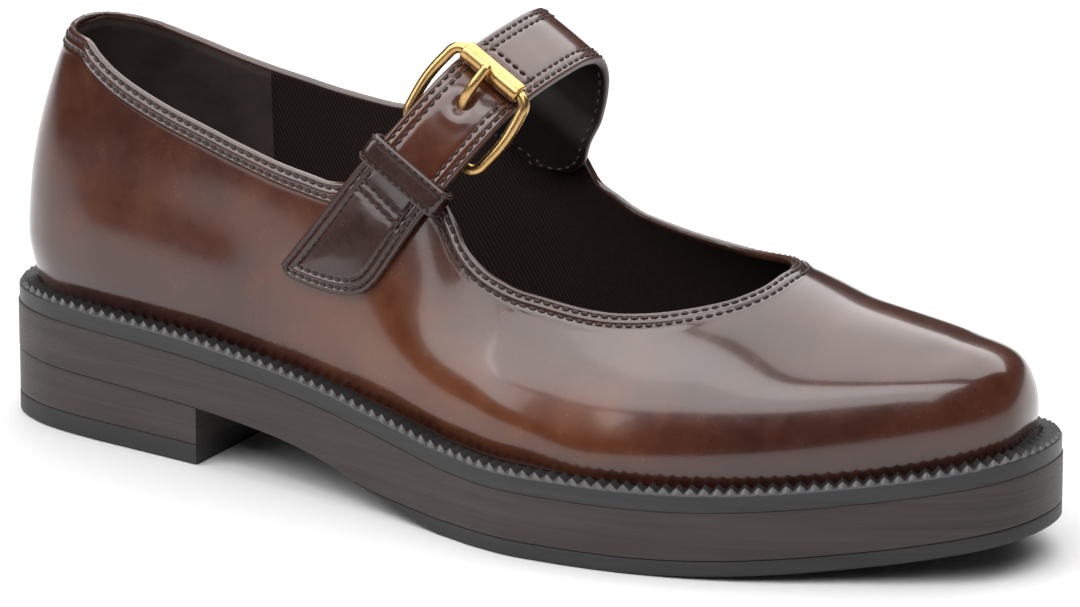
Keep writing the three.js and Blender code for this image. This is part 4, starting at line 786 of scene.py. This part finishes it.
cs, sn = np.sign(np.cos(ang)) * np.abs(np.cos(ang)) ** .75, np.sign(np.sin(ang)) * np.abs(np.sin(ang)) ** .75
a2 = pp[:, None] + nn[:, None] * (rad[:, None] * sn[None])[..., None]
prg = on_plane(a2[..., 0], a2[..., 1], -.6 + rad[:, None] * cs[None] * 1.08)
pb = Build()
pb.add(prg, grid_quads(90, 16, ring_j=True, flip=True), 0)
for e_, fl in ((0, False), (89, True)):
    c = prg[e_].mean(0)
    pb.add(np.vstack([prg[e_], c]), [[k, (k + 1) % 16, 16, 16][::-1 if fl else 1] for k in range(16)], 0)
pb.make("prong", [BRASS], "buckle_metal", ["buckle_prong"], sharp=50)

# ------------------------------------------------------------------ floor, light, camera
fm = Nodes("pale_floor")
fl_n = fm.noise(7, 3)
FLOOR = fm.set(Base_Color=fm.ramp(fl_n, (.3, (.615, .615, .615)), (.7, (.64, .64, .64))), Roughness=.6, Specular_IOR_Level=.2)
me = bpy.data.meshes.new("floor")
n = 24; gx = np.linspace(-3.2, 3.2, n)
vx = [(x, y, -0.0002) for x in gx for y in gx]
me.from_pydata(vx, [], grid_quads(n, n).tolist()); me.materials.append(FLOOR)
floor = bpy.data.objects.new("floor", me); bpy.context.scene.collection.objects.link(floor)

def softbox(name, at, aim, sx, sy_, power, col=(1, 1, 1)):
    l = bpy.data.lights.new(name, "AREA"); l.shape = "RECTANGLE"; l.size, l.size_y, l.energy, l.color = sx, sy_, power, col
    o = bpy.data.objects.new(name, l); bpy.context.scene.collection.objects.link(o)
    at, aim = np.array(at, float), np.array(aim, float)
    z = unit(at - aim); x = unit(np.cross([0, 0, 1.0] if abs(z[2]) < .98 else [0, 1.0, 0], z)); y = np.cross(z, x)
    m = Matrix([[x[0], y[0], z[0], at[0]], [x[1], y[1], z[1], at[1]], [x[2], y[2], z[2], at[2]], [0, 0, 0, 1]])
    o.matrix_world = m
    return o
aim = (0.0, 0.0, .04)
def sky(name, az, lo, hi, wide, radiance, dist=1.45):         # a softbox filling a band of heights above the floor
    mid, half = math.radians((lo + hi) / 2), math.radians((hi - lo) / 2)
    a = math.radians(az); high = 2 * dist * math.tan(half)
    softbox(name, (dist * math.cos(mid) * math.sin(a), -dist * math.cos(mid) * math.cos(a), .04 + dist * math.sin(mid)), aim, wide, high, radiance * math.pi * wide * high)
sky("front_low", -8, 35, 52, 2.5, 3.5)
sky("front_high", -8, 52, 70, 2.5, 4.8)
sky("left_low", -38, 16, 34, 1.1, 3.0, 1.7)
sky("overhead", 0, 76, 150, 2.4, 3.2)
world = bpy.data.worlds.new("studio"); bpy.context.scene.world = world; world.use_nodes = True
wt_ = world.node_tree; bg = wt_.nodes["Background"]
bg.inputs["Color"].default_value = (1, 1, 1, 1); bg.inputs["Strength"].default_value = .06

az, el, D, F = math.radians(31), math.radians(18), 2000.0, 8350.0
back = np.array([math.sin(az) * math.cos(el), -math.cos(az) * math.cos(el), math.sin(el)])
right = np.array([math.cos(az), math.sin(az), 0.0]); up = np.cross(back, right)
ray = -back + right * (199.5 - 540) / F - up * (465 - 303.5) / F
C = (np.array([64.814, -32.407, 0.0]) - ray * D + SHIFT) * MM
cd = bpy.data.cameras.new("camera"); cd.sensor_fit = "HORIZONTAL"; cd.sensor_width = 36; cd.lens = F * 36 / 1080; cd.clip_start, cd.clip_end = .05, 50
cam = bpy.data.objects.new("camera", cd); bpy.context.scene.collection.objects.link(cam)
cam.matrix_world = Matrix([[right[k], up[k], back[k], C[k]] for k in range(3)] + [[0, 0, 0, 1]])
bpy.context.scene.camera = cam
bpy.context.scene.view_settings.view_transform = "Standard"
bpy.context.scene.view_settings.exposure = 0.0

bpy.context.view_layer.update()
